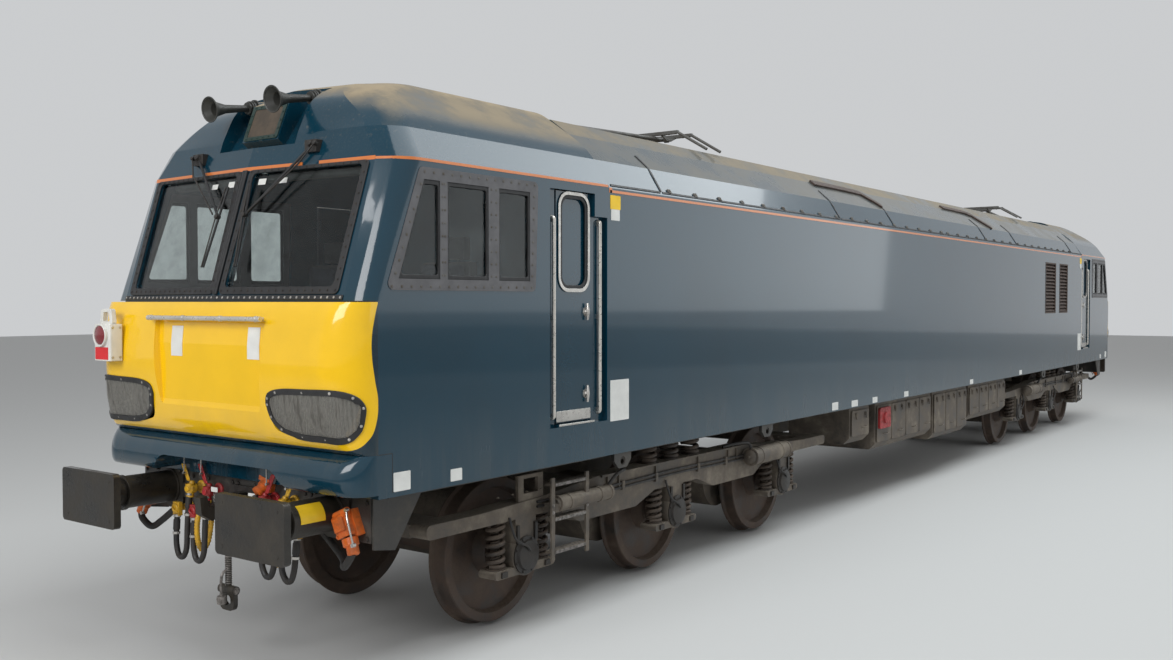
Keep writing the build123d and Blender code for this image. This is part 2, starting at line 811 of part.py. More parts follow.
def wheel_profile():
    """Half section of a wheel on its axle, (distance along the axle, radius)."""
    inner = back_to_back / 2
    return [
        (inner, axle_radius + running_gap),
        (inner, 150.0),
        (inner + 45, 190.0),
        (inner + 50, wheel_radius - 90),
        (inner, wheel_radius - 70),
        (inner, flange_radius - 8),
        (inner + 10, flange_radius),
        (inner + 20, flange_radius - 4),
        (inner + flange_width, wheel_radius + 4),
        (inner + flange_width + 12, wheel_radius),
        (inner + rim_width - 6, wheel_radius - 4),
        (inner + rim_width, wheel_radius - 10),
        (inner + rim_width, wheel_radius - 70),
        (inner + 82, wheel_radius - 90),
        (inner + 78, 190.0),
        (inner + 170, 150.0),
        (inner + 170, axle_radius + running_gap),
    ]


for number, x in enumerate(axle_positions, start=1):
    with BuildPart() as wheelset:
        axle_plane = Plane(origin=(x, 0, axle_height), x_dir=(0, 1, 0), z_dir=(-1, 0, 0))
        with BuildSketch(axle_plane):
            with BuildLine():
                Polyline(
                    (-journal_end, 0), (-journal_end, journal_radius), (-journal_shoulder, journal_radius),
                    (-journal_shoulder, axle_radius), (journal_shoulder, axle_radius),
                    (journal_shoulder, journal_radius), (journal_end, journal_radius), (journal_end, 0),
                    close=True,
                )
            make_face()
            for side in (1, -1):
                with BuildLine():
                    Polyline(*[(side * along, radius) for along, radius in wheel_profile()], close=True)
                make_face()
        revolve(axis=Axis((x, 0, axle_height), (0, 1, 0)))
    save(wheelset, f"wheelset_{number}")

# Bogie frame: side outline, half of it, (distance from the pivot, height)
frame_top = 1020.0
frame_low = 835.0
frame_dip = 800.0
frame_half_outline = [
    (0.0, frame_top), (1160.0, frame_top), (1900.0, 957.0), (2550.0, 932.0), (3080.0, 932.0),
    (3080.0, frame_low), (1700.0, frame_low), (1420.0, 700.0), (640.0, 700.0),
    (350.0, frame_dip), (0.0, frame_dip),
]
frame_bend = 40.0
flange_overhang = 18.0
flange_plate = 16.0
axle_steps = (-bogie_wheelbase / 2, 0.0, bogie_wheelbase / 2)
axlebox_radius = 150.0
axlebox_neck = 230.0
axlebox_bore = journal_radius + running_gap
wing_half_length = 335.0
wing_top = 492.0
wing_bottom = 432.0
spring_offset = 245.0
spring_radius = 74.0
transom_offset = bogie_wheelbase / 4
transom_width = 360.0
transom_top = 940.0
transom_depth = 220.0
centre_beam_depth = 130.0
centre_beam_half_width = 210.0
end_beam = (2780.0, 3080.0, frame_low, 925.0)
motor_offset = 430.0
motor_radius = 290.0
motor_height = 600.0
motor_half_length = 590.0


def frame_outline_points():
    """The frame's side outline, both halves, about the pivot."""
    left = [(-x, z) for x, z in reversed(frame_half_outline) if x > 0]
    return [(bogie_pivot + x, z) for x, z in frame_half_outline + left]


# Gear on the outside of the frame, (x from the pivot, height, radius, length): a damper and an air reservoir
outer_cylinders = [(1490.0, 905.0, 56.0, 640.0), (-1550.0, 908.0, 84.0, 700.0)]
outer_cylinder_y = 1205.0
cylinder_bracket = 60.0
footstep_posts = (7887.0, 8306.0)
footstep_y = 1235.0
footstep_top = 1109.0
footstep_treads = (1055.0, 800.0, 560.0)
yaw_bracket = (8250.0, 8535.0, 940.0, 1138.0)

with BuildPart() as bogie_1:
    for side in (1, -1):
        # Side member with its axle guides, each with a bore for the journal
        with BuildSketch(Plane.XZ.offset(-side * frame_inner)):
            with BuildLine():
                Polyline(*frame_outline_points(), close=True)
            make_face()
            fillet(vertices(), frame_bend)
            for step in axle_steps:
                with Locations((bogie_pivot + step, (axle_height + transom_top) / 2)):
                    Rectangle(axlebox_neck, transom_top - axle_height)
                with Locations((bogie_pivot + step, axle_height)):
                    Circle(axlebox_radius)
                with Locations((bogie_pivot + step, (wing_top + wing_bottom) / 2)):
                    SlotOverall(2 * wing_half_length, wing_top - wing_bottom)
            for step in axle_steps:
                with Locations((bogie_pivot + step, axle_height)):
                    Circle(axlebox_bore, mode=Mode.SUBTRACT)
        extrude(amount=-side * (frame_outer - frame_inner))
        # The top flange stands proud of the web along the middle
        with BuildSketch(Plane.XZ.offset(-side * frame_outer)):
            with Locations((bogie_pivot, frame_top - flange_plate / 2)):
                Rectangle(2 * frame_half_outline[1][0] - 40, flange_plate)
        extrude(amount=-side * flange_overhang)
        # Damper and reservoir, each held by two brackets
        for dx, height, radius, length in outer_cylinders:
            start = bogie_pivot + dx - length / 2
            with BuildSketch(Plane.YZ.offset(start)):
                with Locations((side * outer_cylinder_y, height)):
                    Circle(radius)
            extrude(amount=length)
            for bracket in (start + length / 5, start + 4 * length / 5):
                with BuildSketch(Plane.XZ.offset(-side * (frame_outer - 1))):
                    with Locations((bracket, height)):
                        Rectangle(cylinder_bracket, radius)
                extrude(amount=-side * (outer_cylinder_y - frame_outer))
        # Footstep ladder under the cab door
        for x in footstep_posts:
            with BuildSketch(Plane.XY.offset(footstep_treads[-1] - 60)):
                with Locations((x, side * footstep_y)):
                    Rectangle(40, 14)
            extrude(amount=footstep_top - footstep_treads[-1] + 60)
        for tread in footstep_treads:
            with BuildSketch(Plane.XY.offset(tread - 12)):
                with Locations((sum(footstep_posts) / 2, side * (footstep_y - 30))):
                    Rectangle(footstep_posts[1] - footstep_posts[0], 74)
            extrude(amount=24)
        with BuildSketch(Plane.XZ.offset(-side * (frame_outer - 1))):
            with Locations((sum(footstep_posts) / 2, 880)):
                Rectangle(footstep_posts[1] - footstep_posts[0] - 60, 60)
        extrude(amount=-side * (footstep_y - frame_outer + 2))
        with BuildSketch(Plane.XZ.offset(-side * (footstep_y - 8))):
            with Locations((sum(footstep_posts) / 2, 880)):
                Rectangle(footstep_posts[1] - footstep_posts[0], 60)
        extrude(amount=-side * 8)
        # Open bracket on the frame by the second axle guide
        rear, front, foot, head = yaw_bracket
        with BuildSketch(Plane.XZ.offset(-side * (frame_outer - 40))):
            with Locations(((rear + front) / 2, (foot + head) / 2)):
                Rectangle(front - rear, head - foot)
            with Locations(((rear + front) / 2, (foot + head) / 2 + 18)):
                Rectangle(front - rear - 120, head - foot - 90, mode=Mode.SUBTRACT)
        extrude(amount=-side * 26)
    # Transoms between the side members, and the end beams
    for step in (-1, 1):
        with BuildSketch(Plane.XZ.offset(-frame_inner)):
            with Locations((bogie_pivot + step * transom_offset, transom_top - transom_depth / 2)):
                Rectangle(transom_width, transom_depth)
            beam_x = bogie_pivot + step * (end_beam[0] + end_beam[1]) / 2
            beam_z = (end_beam[2] + end_beam[3]) / 2
            with Locations((beam_x, beam_z)):
                Rectangle(end_beam[1] - end_beam[0], end_beam[3] - end_beam[2])
        extrude(amount=2 * frame_inner)
    # Motors hung beside their axles, the outer ones by an arm from the transom
    for step, reach in ((axle_steps[0], 1), (axle_steps[1], 1), (axle_steps[2], -1)):
        with BuildSketch(Plane.XZ.offset(-motor_half_length)):
            with Locations((bogie_pivot + step + reach * motor_offset, motor_height)):
                Circle(motor_radius)
        extrude(amount=2 * motor_half_length)
    for step in (-1, 1):
        with BuildSketch(Plane.XZ.offset(-centre_beam_half_width)):
            motor_x = bogie_pivot + step * (transom_offset + transom_width / 2 + 100)
            with Locations((motor_x, transom_top - 110)):
                Rectangle(360, 120)
        extrude(amount=2 * centre_beam_half_width)
    # The centre beam between the transoms, with the bore for the pivot post
    with BuildSketch(Plane.XY.offset(transom_top)):
        with Locations((bogie_pivot, 0)):
            Rectangle(2 * transom_offset, 2 * centre_beam_half_width)
            Circle(pivot_post_radius + running_gap, mode=Mode.SUBTRACT)
    extrude(amount=-centre_beam_depth)
    with BuildSketch(Plane.XY.offset(transom_top)):
        with Locations((bogie_pivot, 0)):
            Circle(pivot_post_radius + running_gap)
    extrude(amount=pivot_post_bottom - transom_top - 60, mode=Mode.SUBTRACT)
save(bogie_1, "bogie_1")
save(turned(bogie_1), "bogie_2")

# Springs of the bogie: a pair over each axlebox's wings, and three a side that carry the body
body_spring_offsets = (-350.0, 0.0, 350.0)
body_spring_radius = 88.0
body_spring_gap = 6.0
spring_y = (frame_inner + frame_outer) / 2
axle_spring_top = {-1: frame_low, 0: frame_dip, 1: frame_low}


def spring_profile(foot, head, radius):
    """Half section of a coil spring between its seats, (radius, height), with a groove a turn."""
    turns = max(3, round((head - foot) / 46.0))
    pitch = (head - foot) / turns
    points = [(0.0, foot)]
    for turn in range(turns):
        base = foot + turn * pitch
        points += [(radius, base), (radius, base + 0.62 * pitch), (radius - 14, base + 0.66 * pitch)]
        points.append((radius - 14, base + 0.96 * pitch))
    points += [(radius, head), (0.0, head)]
    return points


with BuildPart() as bogie_springs_1:
    places = []
    for index in (-1, 0, 1):
        for offset_x in (-spring_offset, spring_offset):
            x = bogie_pivot + index * bogie_wheelbase / 2 + offset_x
            places.append((x, wing_top + running_gap, axle_spring_top[index] - running_gap, spring_radius))
    for offset_x in body_spring_offsets:
        foot = frame_top + running_gap
        places.append((bogie_pivot + offset_x, foot, underframe_bottom - body_spring_gap, body_spring_radius))
    for x, foot, head, radius in places:
        for side in (1, -1):
            with BuildSketch(Plane(origin=(x, side * spring_y, 0), x_dir=(1, 0, 0), z_dir=(0, -1, 0))):
                with BuildLine():
                    Polyline(*spring_profile(foot, head, radius), close=True)
                make_face()
            revolve(axis=Axis((x, side * spring_y, 0), (0, 0, 1)))
save(bogie_springs_1, "bogie_springs_1")
save(turned(bogie_springs_1), "bogie_springs_2")

# Equipment between the bogies, under the floor, with the transformer block above it
case_bevel = 70.0
case_lid = 14.0
case_inner = 470.0
case_outer = 1215.0
equipment_rows = [
    (2600.0, 560.0, 420.0), (1180.0, 1900.0, 560.0), (-560.0, 1400.0, 640.0), (-2260.0, 1800.0, 520.0),
]
with BuildPart() as equipment_cases:
    for x, length, depth in equipment_rows:
        for side in (1, -1):
            with BuildSketch(Plane.YZ.offset(x - length / 2)):
                with BuildLine():
                    Polyline(
                        (side * case_inner, underframe_bottom),
                        (side * case_inner, underframe_bottom - depth),
                        (side * (case_outer - case_bevel), underframe_bottom - depth),
                        (side * case_outer, underframe_bottom - depth + case_bevel),
                        (side * case_outer, underframe_bottom),
                        close=True,
                    )
                make_face()
            extrude(amount=length)
            lids = max(1, round(length / 640.0))
            lid_length = (length - 60.0) / lids
            with BuildSketch(Plane.XZ.offset(-side * case_outer)):
                for index in range(lids):
                    lid_x = x - (lids - 1) * lid_length / 2 + index * lid_length
                    with Locations((lid_x, underframe_bottom - (depth - case_bevel) / 2 - 10)):
                        RectangleRounded(lid_length - 40, depth - case_bevel - 80, 30)
            extrude(amount=-side * case_lid)
save(equipment_cases, "equipment_cases")

transformer_length = 2600.0
transformer_width = 1900.0
transformer_height = 1250.0
with BuildPart() as transformer:
    with BuildSketch(Plane.XY.offset(underframe_top)):
        Rectangle(transformer_length, transformer_width)
    extrude(amount=transformer_height)
save(transformer, "transformer")

# Pantograph, folded down: the arm's pivot, the knuckle and the head's pivot
panto_pivot = (5150.0, 3925.0)
panto_knuckle = (7150.0, 3968.0)
panto_head = (5300.0, 3998.0)
arm_radius = 42.0
upper_radius = 19.0
pivot_shaft = 28.0
pivot_shaft_half = 180.0
knuckle_radius = 48.0
knuckle_half = 55.0
knuckle_pin = 16.0
knuckle_cheek = 30.0
head_bar_radius = 18.0
head_bar_half = 330.0
strip_length = 1050.0
strip_width = 36.0
strip_height = 28.0
strip_spread = 260.0
strip_top = 4055.0
horn_reach = 320.0
horn_drop = 190.0
head_hub = 32.0


def tube_between(start, end, radius):
    """A round bar between two points."""
    with BuildPart() as tube:
        with BuildLine():
            path = Line(start, end)
        with BuildSketch(Plane(origin=start, z_dir=path % 0)):
            Circle(radius)
        extrude(amount=path.length)
    return tube


def cross_bar(x, z, half, radius, bore=0.0, start=0.0):
    """A round bar across the locomotive, whole or as a pair of sleeves from the start outwards."""
    with BuildPart() as bar_piece:
        for side in (1, -1) if start > 0 else (1,):
            first = side * start if start > 0 else -half
            with BuildSketch(Plane.XZ.offset(-first)):
                with Locations((x, z)):
                    Circle(radius)
                    if bore > 0:
                        Circle(bore, mode=Mode.SUBTRACT)
            extrude(amount=-side * (half - start) if start > 0 else -2 * half)
    return bar_piece


with BuildPart() as panto_arm:
    add(cross_bar(*panto_pivot, pivot_shaft_half, pivot_shaft).part)
    arm_foot = (panto_pivot[0], 0, panto_pivot[1])
    arm_head = (panto_knuckle[0], 0, panto_knuckle[1])
    add(tube_between(arm_foot, arm_head, arm_radius).part)
    add(cross_bar(*panto_knuckle, knuckle_half, knuckle_radius).part)
    add(cross_bar(*panto_knuckle, knuckle_half, knuckle_pin + running_gap).part, mode=Mode.SUBTRACT)
save(panto_arm, "pantograph_arm_1")
save(turned(panto_arm), "pantograph_arm_2")

with BuildPart() as panto_upper:
    cheek_start = knuckle_half + running_gap
    add(cross_bar(*panto_knuckle, cheek_start + knuckle_cheek, knuckle_pin).part)
    add(cross_bar(*panto_knuckle, cheek_start + knuckle_cheek, knuckle_radius, 0, cheek_start).part)
    for side in (1, -1):
        knuckle_end = (panto_knuckle[0], side * (cheek_start + upper_radius + 6), panto_knuckle[1])
        head_end = (panto_head[0], side * (head_bar_half - 60), panto_head[1])
        add(tube_between(knuckle_end, head_end, upper_radius).part)
    add(cross_bar(*panto_head, head_bar_half - running_gap, head_bar_radius).part)
save(panto_upper, "pantograph_upper_1")
save(turned(panto_upper), "pantograph_upper_2")

with BuildPart() as panto_head_piece:
    hub_start = head_bar_half - 40
    add(cross_bar(*panto_head, head_bar_half, head_hub, head_bar_radius + running_gap, hub_start).part)
    for side in (1, -1):
        # The side plate that joins the hub to both strips
        with BuildSketch(Plane.XZ.offset(-side * head_bar_half)):
            with BuildLine():
                Polyline(
                    (panto_head[0] - strip_spread / 2 - 20, strip_top - strip_height),
                    (panto_head[0] - 34, panto_head[1] - 20),
                    (panto_head[0] + 34, panto_head[1] - 20),
                    (panto_head[0] + strip_spread / 2 + 20, strip_top - strip_height),
                    close=True,
                )
            make_face()
        extrude(amount=-side * 12)
        # The horns at the strips' ends
        for step in (-1, 1):
            strip_x = panto_head[0] + step * strip_spread / 2
            horn_top = (strip_x, side * (strip_length / 2 - 5), strip_top - 18)
            horn_tip = (strip_x, side * (strip_length / 2 + horn_reach), strip_top - 18 - horn_drop)
            add(tube_between(horn_top, horn_tip, 14).part)
    for step in (-1, 1):
        with BuildSketch(Plane.XZ.offset(-strip_length / 2)):
            with Locations((panto_head[0] + step * strip_spread / 2, strip_top - strip_height / 2)):
                Rectangle(strip_width, strip_height)
        extrude(amount=strip_length)
save(panto_head_piece, "pantograph_head_1")
save(turned(panto_head_piece), "pantograph_head_2")

# Pantograph base frame on four insulators, and the busbar along the roof
base_rail_top = 3872.0
base_rail_height = 45.0
base_rail_y = 330.0
base_front = 6050.0
base_back = 4900.0
base_bar_width = 70.0
busbar_radius = 20.0
busbar_height = 4000.0
busbar_posts = (4020.0, 2750.0)
with BuildPart() as roof_equipment_1:
    with BuildSketch(Plane.XY.offset(base_rail_top)):
        for side in (1, -1):
            with Locations(((base_front + base_back) / 2, side * base_rail_y)):
                Rectangle(base_front - base_back, base_bar_width)
        for x in (base_front, base_back, panto_pivot[0]):
            with Locations((x, 0)):
                Rectangle(base_bar_width, 2 * base_rail_y + base_bar_width)
    extrude(amount=-base_rail_height)
    for side in (1, -1):
        with BuildSketch(Plane.XZ.offset(-side * (pivot_shaft_half - 50))):
            with BuildLine():
                Polyline(
                    (panto_pivot[0] - 35, base_rail_top),
                    (panto_pivot[0] - 35, panto_pivot[1] + 40),
                    (panto_pivot[0] + 35, panto_pivot[1] + 40),
                    (panto_pivot[0] + 35, base_rail_top),
                    close=True,
                )
            make_face()
            with Locations(panto_pivot):
                Circle(pivot_shaft + running_gap, mode=Mode.SUBTRACT)
        extrude(amount=-side * 40)
    busbar_start = (base_back - 40, 0, base_rail_top - 22)
    busbar_bend = (base_back - 260, 0, busbar_height)
    busbar_end = (busbar_posts[1] - 60, 0, busbar_height)
    add(tube_between(busbar_start, busbar_bend, busbar_radius).part)
    add(tube_between((busbar_bend[0] + 10, 0, busbar_height), busbar_end, busbar_radius).part)
with BuildPart() as roof_equipment:
    add(roof_equipment_1.part)
    add(turned(roof_equipment_1).part)
save(roof_equipment, "roof_equipment")


def insulator(x, y, foot, height, core, shed):
    """A ribbed post insulator, turned about its upright axis."""
    with BuildPart() as post:
        sheds = max(2, int(height / 45))
        step = height / sheds
        with BuildSketch(Plane(origin=(x, y, foot), x_dir=(1, 0, 0), z_dir=(0, -1, 0))):
            with BuildLine():
                outline = [(0, 0)]
                for index in range(sheds):
                    outline.append((core, index * step))
                    outline.append((shed, (index + 0.35) * step))
                    outline.append((shed, (index + 0.5) * step))
                outline.append((core, height))
                outline.append((0, height))
                Polyline(*outline, close=True)
            make_face()
        revolve(axis=Axis((x, y, foot), (0, 0, 1)))
    return post


with BuildPart() as insulators_1:
    for side in (1, -1):
        for x in (base_front - 60, base_back + 60):
            foot_height = base_rail_top - base_rail_height - well_floor
            add(insulator(x, side * base_rail_y, well_floor, foot_height, 42, 62).part)
    add(insulator(busbar_posts[0], 0, well_floor, busbar_height - busbar_radius - well_floor, 38, 58).part)
    crown = crown_section[-1][1]
    add(insulator(busbar_posts[1], 0, crown, busbar_height - busbar_radius - crown, 38, 58).part)
with BuildPart() as roof_insulators:
    add(insulators_1.part)
    add(turned(insulators_1).part)
save(roof_insulators, "roof_insulators")

# Handrails: beside each door, and across the nose
rail_radius = 14.0
door_rails = (8393.0, 7831.0)
door_rail_foot = 1557.0
door_rail_head = 3000.0
door_rail_y = body_half_width - 19.0
pocket_back = body_half_width - pocket_depth
nose_rail = (10378.0, 2288.0)
nose_rail_half = 600.0
nose_rail_posts = (560.0, 200.0)
with BuildPart() as handrails_1:
    for side in (1, -1):
        for x in door_rails:
            with BuildPart(mode=Mode.PRIVATE) as rail:
                with BuildLine():
                    Polyline(
                        (x, side * pocket_back, door_rail_foot),
                        (x, side * door_rail_y, door_rail_foot),
                        (x, side * door_rail_y, door_rail_head),
                        (x, side * pocket_back, door_rail_head),
                    )
                    fillet(vertices().group_by(Axis.Y)[-1 if side > 0 else 0], 20)
                with BuildSketch(Plane(origin=(x, side * pocket_back, door_rail_foot), z_dir=(0, side, 0))):
                    Circle(rail_radius)
                sweep()
            add(rail.part)
    rail_right = (nose_rail[0], -nose_rail_half, nose_rail[1])
    rail_left = (nose_rail[0], nose_rail_half, nose_rail[1])
    add(tube_between(rail_right, rail_left, 15).part)
    for post in nose_rail_posts:
        for side in (1, -1):
            post_foot = (10300, side * post, nose_rail[1])
            post_head = (nose_rail[0], side * post, nose_rail[1])
            add(tube_between(post_foot, post_head, 12).part)
    add(nose_1.part, mode=Mode.SUBTRACT)
with BuildPart() as handrails:
    add(handrails_1.part)
    add(turned(handrails_1).part)
save(handrails, "handrails")

# Horns: two trumpets on the front of the dome
horn_length = ((horn_mouth[0] - horn_throat[0]) ** 2 + (horn_mouth[1] - horn_throat[1]) ** 2) ** 0.5
with BuildPart() as horns_1:
    for side in (1, -1):
        throat = (horn_throat[0], side * horn_y, horn_throat[1])
        with BuildSketch(Plane(origin=throat, x_dir=horn_direction, z_dir=(0, -1, 0))):
            with BuildLine():
                Polyline(
                    (0, 0), (0, 40), (45, 40), (55, 22), (horn_length - 120, 30), (horn_length - 40, 52),
                    (horn_length, 84), (horn_length, 78), (horn_length - 40, 45), (horn_length - 100, 24),
                    (horn_length - 100, 0),
                    close=True,
                )
            make_face()
        revolve(axis=Axis(throat, horn_direction))
with BuildPart() as horns:
    add(horns_1.part)
    add(turned(horns_1).part)
save(horns, "horns")

# Wipers: a spindle above each windscreen, an arm across to the centre pillar and a blade
wiper_spindle = (9975.0, 599.0, 3387.0)
wiper_tip = (10146.0, 144.0, 2956.0)
blade_top = (10080.0, 120.0, 3160.0)
blade_foot = (10242.0, 175.0, 2620.0)
with BuildPart() as wipers_1:
    for side in (1, -1):
        def at_side(point):
            return (point[0], side * point[1], point[2])

        spindle_root = (wiper_spindle[0] - 60, side * wiper_spindle[1], wiper_spindle[2] - 18)
        add(tube_between(spindle_root, at_side(wiper_spindle), 18).part)
        add(tube_between(at_side(wiper_spindle), at_side(wiper_tip), 9).part)
        add(tube_between(at_side(blade_top), at_side(blade_foot), 8).part)
        tip_back = (wiper_tip[0] - 12, side * (wiper_tip[1] - 2), wiper_tip[2] - 6)
        add(tube_between(at_side(wiper_tip), tip_back, 14).part)
    add(dome.part, mode=Mode.SUBTRACT)
with BuildPart() as wipers:
    add(wipers_1.part)
    add(turned(wipers_1).part)
save(wipers, "wipers")

# Tail lamp hung on the right corner of the nose at end 1
lamp_box = (10365.0, 10545.0, -1130.0, -930.0, 1985.0, 2240.0)
with BuildPart() as tail_lamp:
    with BuildSketch(Plane.XY.offset(lamp_box[4])):
        with Locations(((lamp_box[0] + lamp_box[1]) / 2, (lamp_box[2] + lamp_box[3]) / 2)):
            RectangleRounded(lamp_box[1] - lamp_box[0], lamp_box[3] - lamp_box[2], 18)
    extrude(amount=lamp_box[5] - lamp_box[4])
    with BuildSketch(Plane.YZ.offset(lamp_box[1])):
        with Locations(((lamp_box[2] + lamp_box[3]) / 2, lamp_box[4] + 120)):
            Circle(70)
    extrude(amount=18)
    # The bracket behind it follows the nose
    with BuildSketch(Plane.YZ.offset(front_wall)):
        with Locations(((lamp_box[2] + lamp_box[3]) / 2, lamp_box[4] + 130)):
            Rectangle(90, 160)
    extrude(amount=lamp_box[0] + 1 - front_wall)
    add(front_body(nose_levels).part, mode=Mode.SUBTRACT)
save(tail_lamp, "tail_lamp")

# Driver's desk under the windscreens, and two seats
desk_profile = [(9480, 2100), (9640, 2200), (10040, 2330), (10040, 1490), (9620, 1490), (9620, 2050)]
desk_half = 1180.0
seat_y = 620.0
with BuildPart() as cab_desks_1:
    with BuildSketch(Plane.XZ.offset(-desk_half)):
        with BuildLine():
            Polyline(*desk_profile, close=True)
        make_face()
    extrude(amount=2 * desk_half)
    for side in (1, -1):
        with BuildSketch(Plane.XY.offset(cab_floor_top)):
            with Locations((8980, side * seat_y)):
                Circle(70)
        extrude(amount=400)
        with BuildSketch(Plane.XY.offset(cab_floor_top + 400)):
            with Locations((8980, side * seat_y)):
                RectangleRounded(480, 480, 60)
        extrude(amount=110)
        with BuildSketch(Plane.XZ.offset(-(side * seat_y + 230))):
            with BuildLine():
                Polyline((8740, 1900), (8820, 1900), (8770, 2680), (8690, 2680), close=True)
            make_face()
        extrude(amount=460)
with BuildPart() as cab_desks:
    add(cab_desks_1.part)
    add(turned(cab_desks_1).part)
save(cab_desks, "cab_desks")

# Brake pipe cocks on the headstock, their hoses hung up on dummy couplings, and the jumper sockets
cock_height = 1110.0
cock_places = (300.0, 500.0)
cock_length = 130.0
cock_radius = 34.0
dummy_height = 960.0
hose_radius = 21.0
hose_bend = 70.0
hose_low = 700.0
jumper_y = 1115.0
jumper_height = 1010.0
with BuildPart() as hose_fittings_1:
    for side in (1, -1):
        for y in cock_places:
            for place, height in ((y, cock_height), (y + 2 * hose_bend, dummy_height)):
                with BuildSketch(Plane.YZ.offset(headstock_front)):
                    with Locations((side * place, height)):
                        Circle(cock_radius)
                extrude(amount=cock_length)
        with BuildSketch(Plane.YZ.offset(headstock_front)):
            with Locations((side * jumper_y, jumper_height)):
                RectangleRounded(130, 180, 20)
        extrude(amount=90)
with BuildPart() as hose_fittings:
    add(hose_fittings_1.part)
    add(turned(hose_fittings_1).part)
save(hose_fittings, "hose_fittings")

hose_plane = headstock_front + cock_length - cock_radius
with BuildPart() as brake_hoses_1:
    for side in (1, -1):
        for y in cock_places:
            with BuildPart(mode=Mode.PRIVATE) as hose:
                with BuildLine(Plane.YZ.offset(hose_plane)):
                    Line((side * y, cock_height), (side * y, hose_low))
                    ThreePointArc(
                        (side * y, hose_low),
                        (side * (y + hose_bend), hose_low - hose_bend),
                        (side * (y + 2 * hose_bend), hose_low),
                    )
                    Line((side * (y + 2 * hose_bend), hose_low), (side * (y + 2 * hose_bend), dummy_height))
                with BuildSketch(Plane.XY.offset(cock_height)):
                    with Locations((hose_plane, side * y)):
                        Circle(hose_radius)
                sweep()
            add(hose.part)
    add(hose_fittings_1.part, mode=Mode.SUBTRACT)
with BuildPart() as brake_hoses:
    add(brake_hoses_1.part)
    add(turned(brake_hoses_1).part)
save(brake_hoses, "brake_hoses")
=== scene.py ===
import json
import math

import bmesh
import bpy
from mathutils import Matrix, Vector
from mathutils.bvhtree import BVHTree


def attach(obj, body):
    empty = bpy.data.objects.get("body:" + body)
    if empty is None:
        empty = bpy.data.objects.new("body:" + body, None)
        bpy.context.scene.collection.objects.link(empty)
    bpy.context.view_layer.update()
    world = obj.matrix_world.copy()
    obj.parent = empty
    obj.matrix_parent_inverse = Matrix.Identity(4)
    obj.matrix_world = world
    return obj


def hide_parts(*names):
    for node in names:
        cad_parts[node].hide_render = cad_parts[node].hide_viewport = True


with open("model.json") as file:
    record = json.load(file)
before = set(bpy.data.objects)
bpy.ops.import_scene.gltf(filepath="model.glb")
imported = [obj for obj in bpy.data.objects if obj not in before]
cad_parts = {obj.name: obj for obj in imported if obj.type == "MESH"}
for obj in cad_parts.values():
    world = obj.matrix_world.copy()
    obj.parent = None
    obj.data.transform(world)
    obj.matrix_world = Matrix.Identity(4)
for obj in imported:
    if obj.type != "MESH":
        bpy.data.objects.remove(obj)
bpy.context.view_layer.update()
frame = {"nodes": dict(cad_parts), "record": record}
nodes = frame["nodes"]

# Sizes shared with the frame, in metres
BODY_HALF = 1.335
SCREEN_FOOT = 2.400
SCREEN_CENTRE = 10.282
SCREEN_EDGE = 1.155
SCREEN_SWEEP = 0.074
SCREEN_RAKE = 0.301
PIVOT = 6.400
WHEELBASE = 4.134
AXLE_HEIGHT = 0.563
FAR_IN_FRONT = 11.5

# Ends, sides and directions
HALF_TURN = Matrix.Rotation(math.pi, 4, "Z")
ENDS = ((1, Matrix.Identity(4)), (2, HALF_TURN))
SIDES = (1, -1)
AHEAD = Vector((1, 0, 0))
ACROSS = Vector((0, 1, 0))
UP = Vector((0, 0, 1))
DOWN = -UP


# Node helpers for the procedural materials

def add_node(tree, kind, **settings):
    """A new shader node with its plain settings."""
    node = tree.nodes.new(kind)
    for key, value in settings.items():
        setattr(node, key, value)
    return node


def new_material(name, colour, roughness, metallic=0.0, coat=0.0):
    """A material with one Principled shader; its plain numbers sit on the shader's own sockets."""
    material = bpy.data.materials.new(name)
    material.use_nodes = True
    tree = material.node_tree
    shader = tree.nodes["Principled BSDF"]
    shader.inputs["Base Color"].default_value = (*colour, 1.0)
    shader.inputs["Roughness"].default_value = roughness
    shader.inputs["Metallic"].default_value = metallic
    shader.inputs["Coat Weight"].default_value = coat
    shader.inputs["Coat Roughness"].default_value = 0.05
    return material, tree, shader


def object_place(tree):
    """A point's place in its object's space, in metres."""
    return add_node(tree, "ShaderNodeTexCoord").outputs["Object"]


def finish_shader(tree, shader, colour, roughness):
    """Links a colour and a roughness to a shader."""
    tree.links.new(colour, shader.inputs["Base Color"])
    tree.links.new(roughness, shader.inputs["Roughness"])


def noise(tree, scale, detail=4.0, roughness=0.55, stretch=(1, 1, 1)):
    """A noise texture in object space, in metres, so that its grain has a real size."""
    place = object_place(tree)
    mapping = add_node(tree, "ShaderNodeMapping")
    mapping.inputs["Scale"].default_value = stretch
    tree.links.new(place, mapping.inputs["Vector"])
    texture = add_node(tree, "ShaderNodeTexNoise")
    texture.inputs["Scale"].default_value = scale
    texture.inputs["Detail"].default_value = detail
    texture.inputs["Roughness"].default_value = roughness
    tree.links.new(mapping.outputs["Vector"], texture.inputs["Vector"])
    return texture.outputs["Fac"]


def ramp(tree, value, stops):
    """A colour ramp over a value; stops are (place, colour)."""
    node = add_node(tree, "ShaderNodeValToRGB")
    elements = node.color_ramp.elements
    while len(elements) < len(stops):
        elements.new(0.5)
    for element, (place, colour) in zip(elements, stops):
        element.position = place
        element.color = (*colour, 1.0)
    tree.links.new(value, node.inputs["Fac"])
    return node.outputs["Color"]


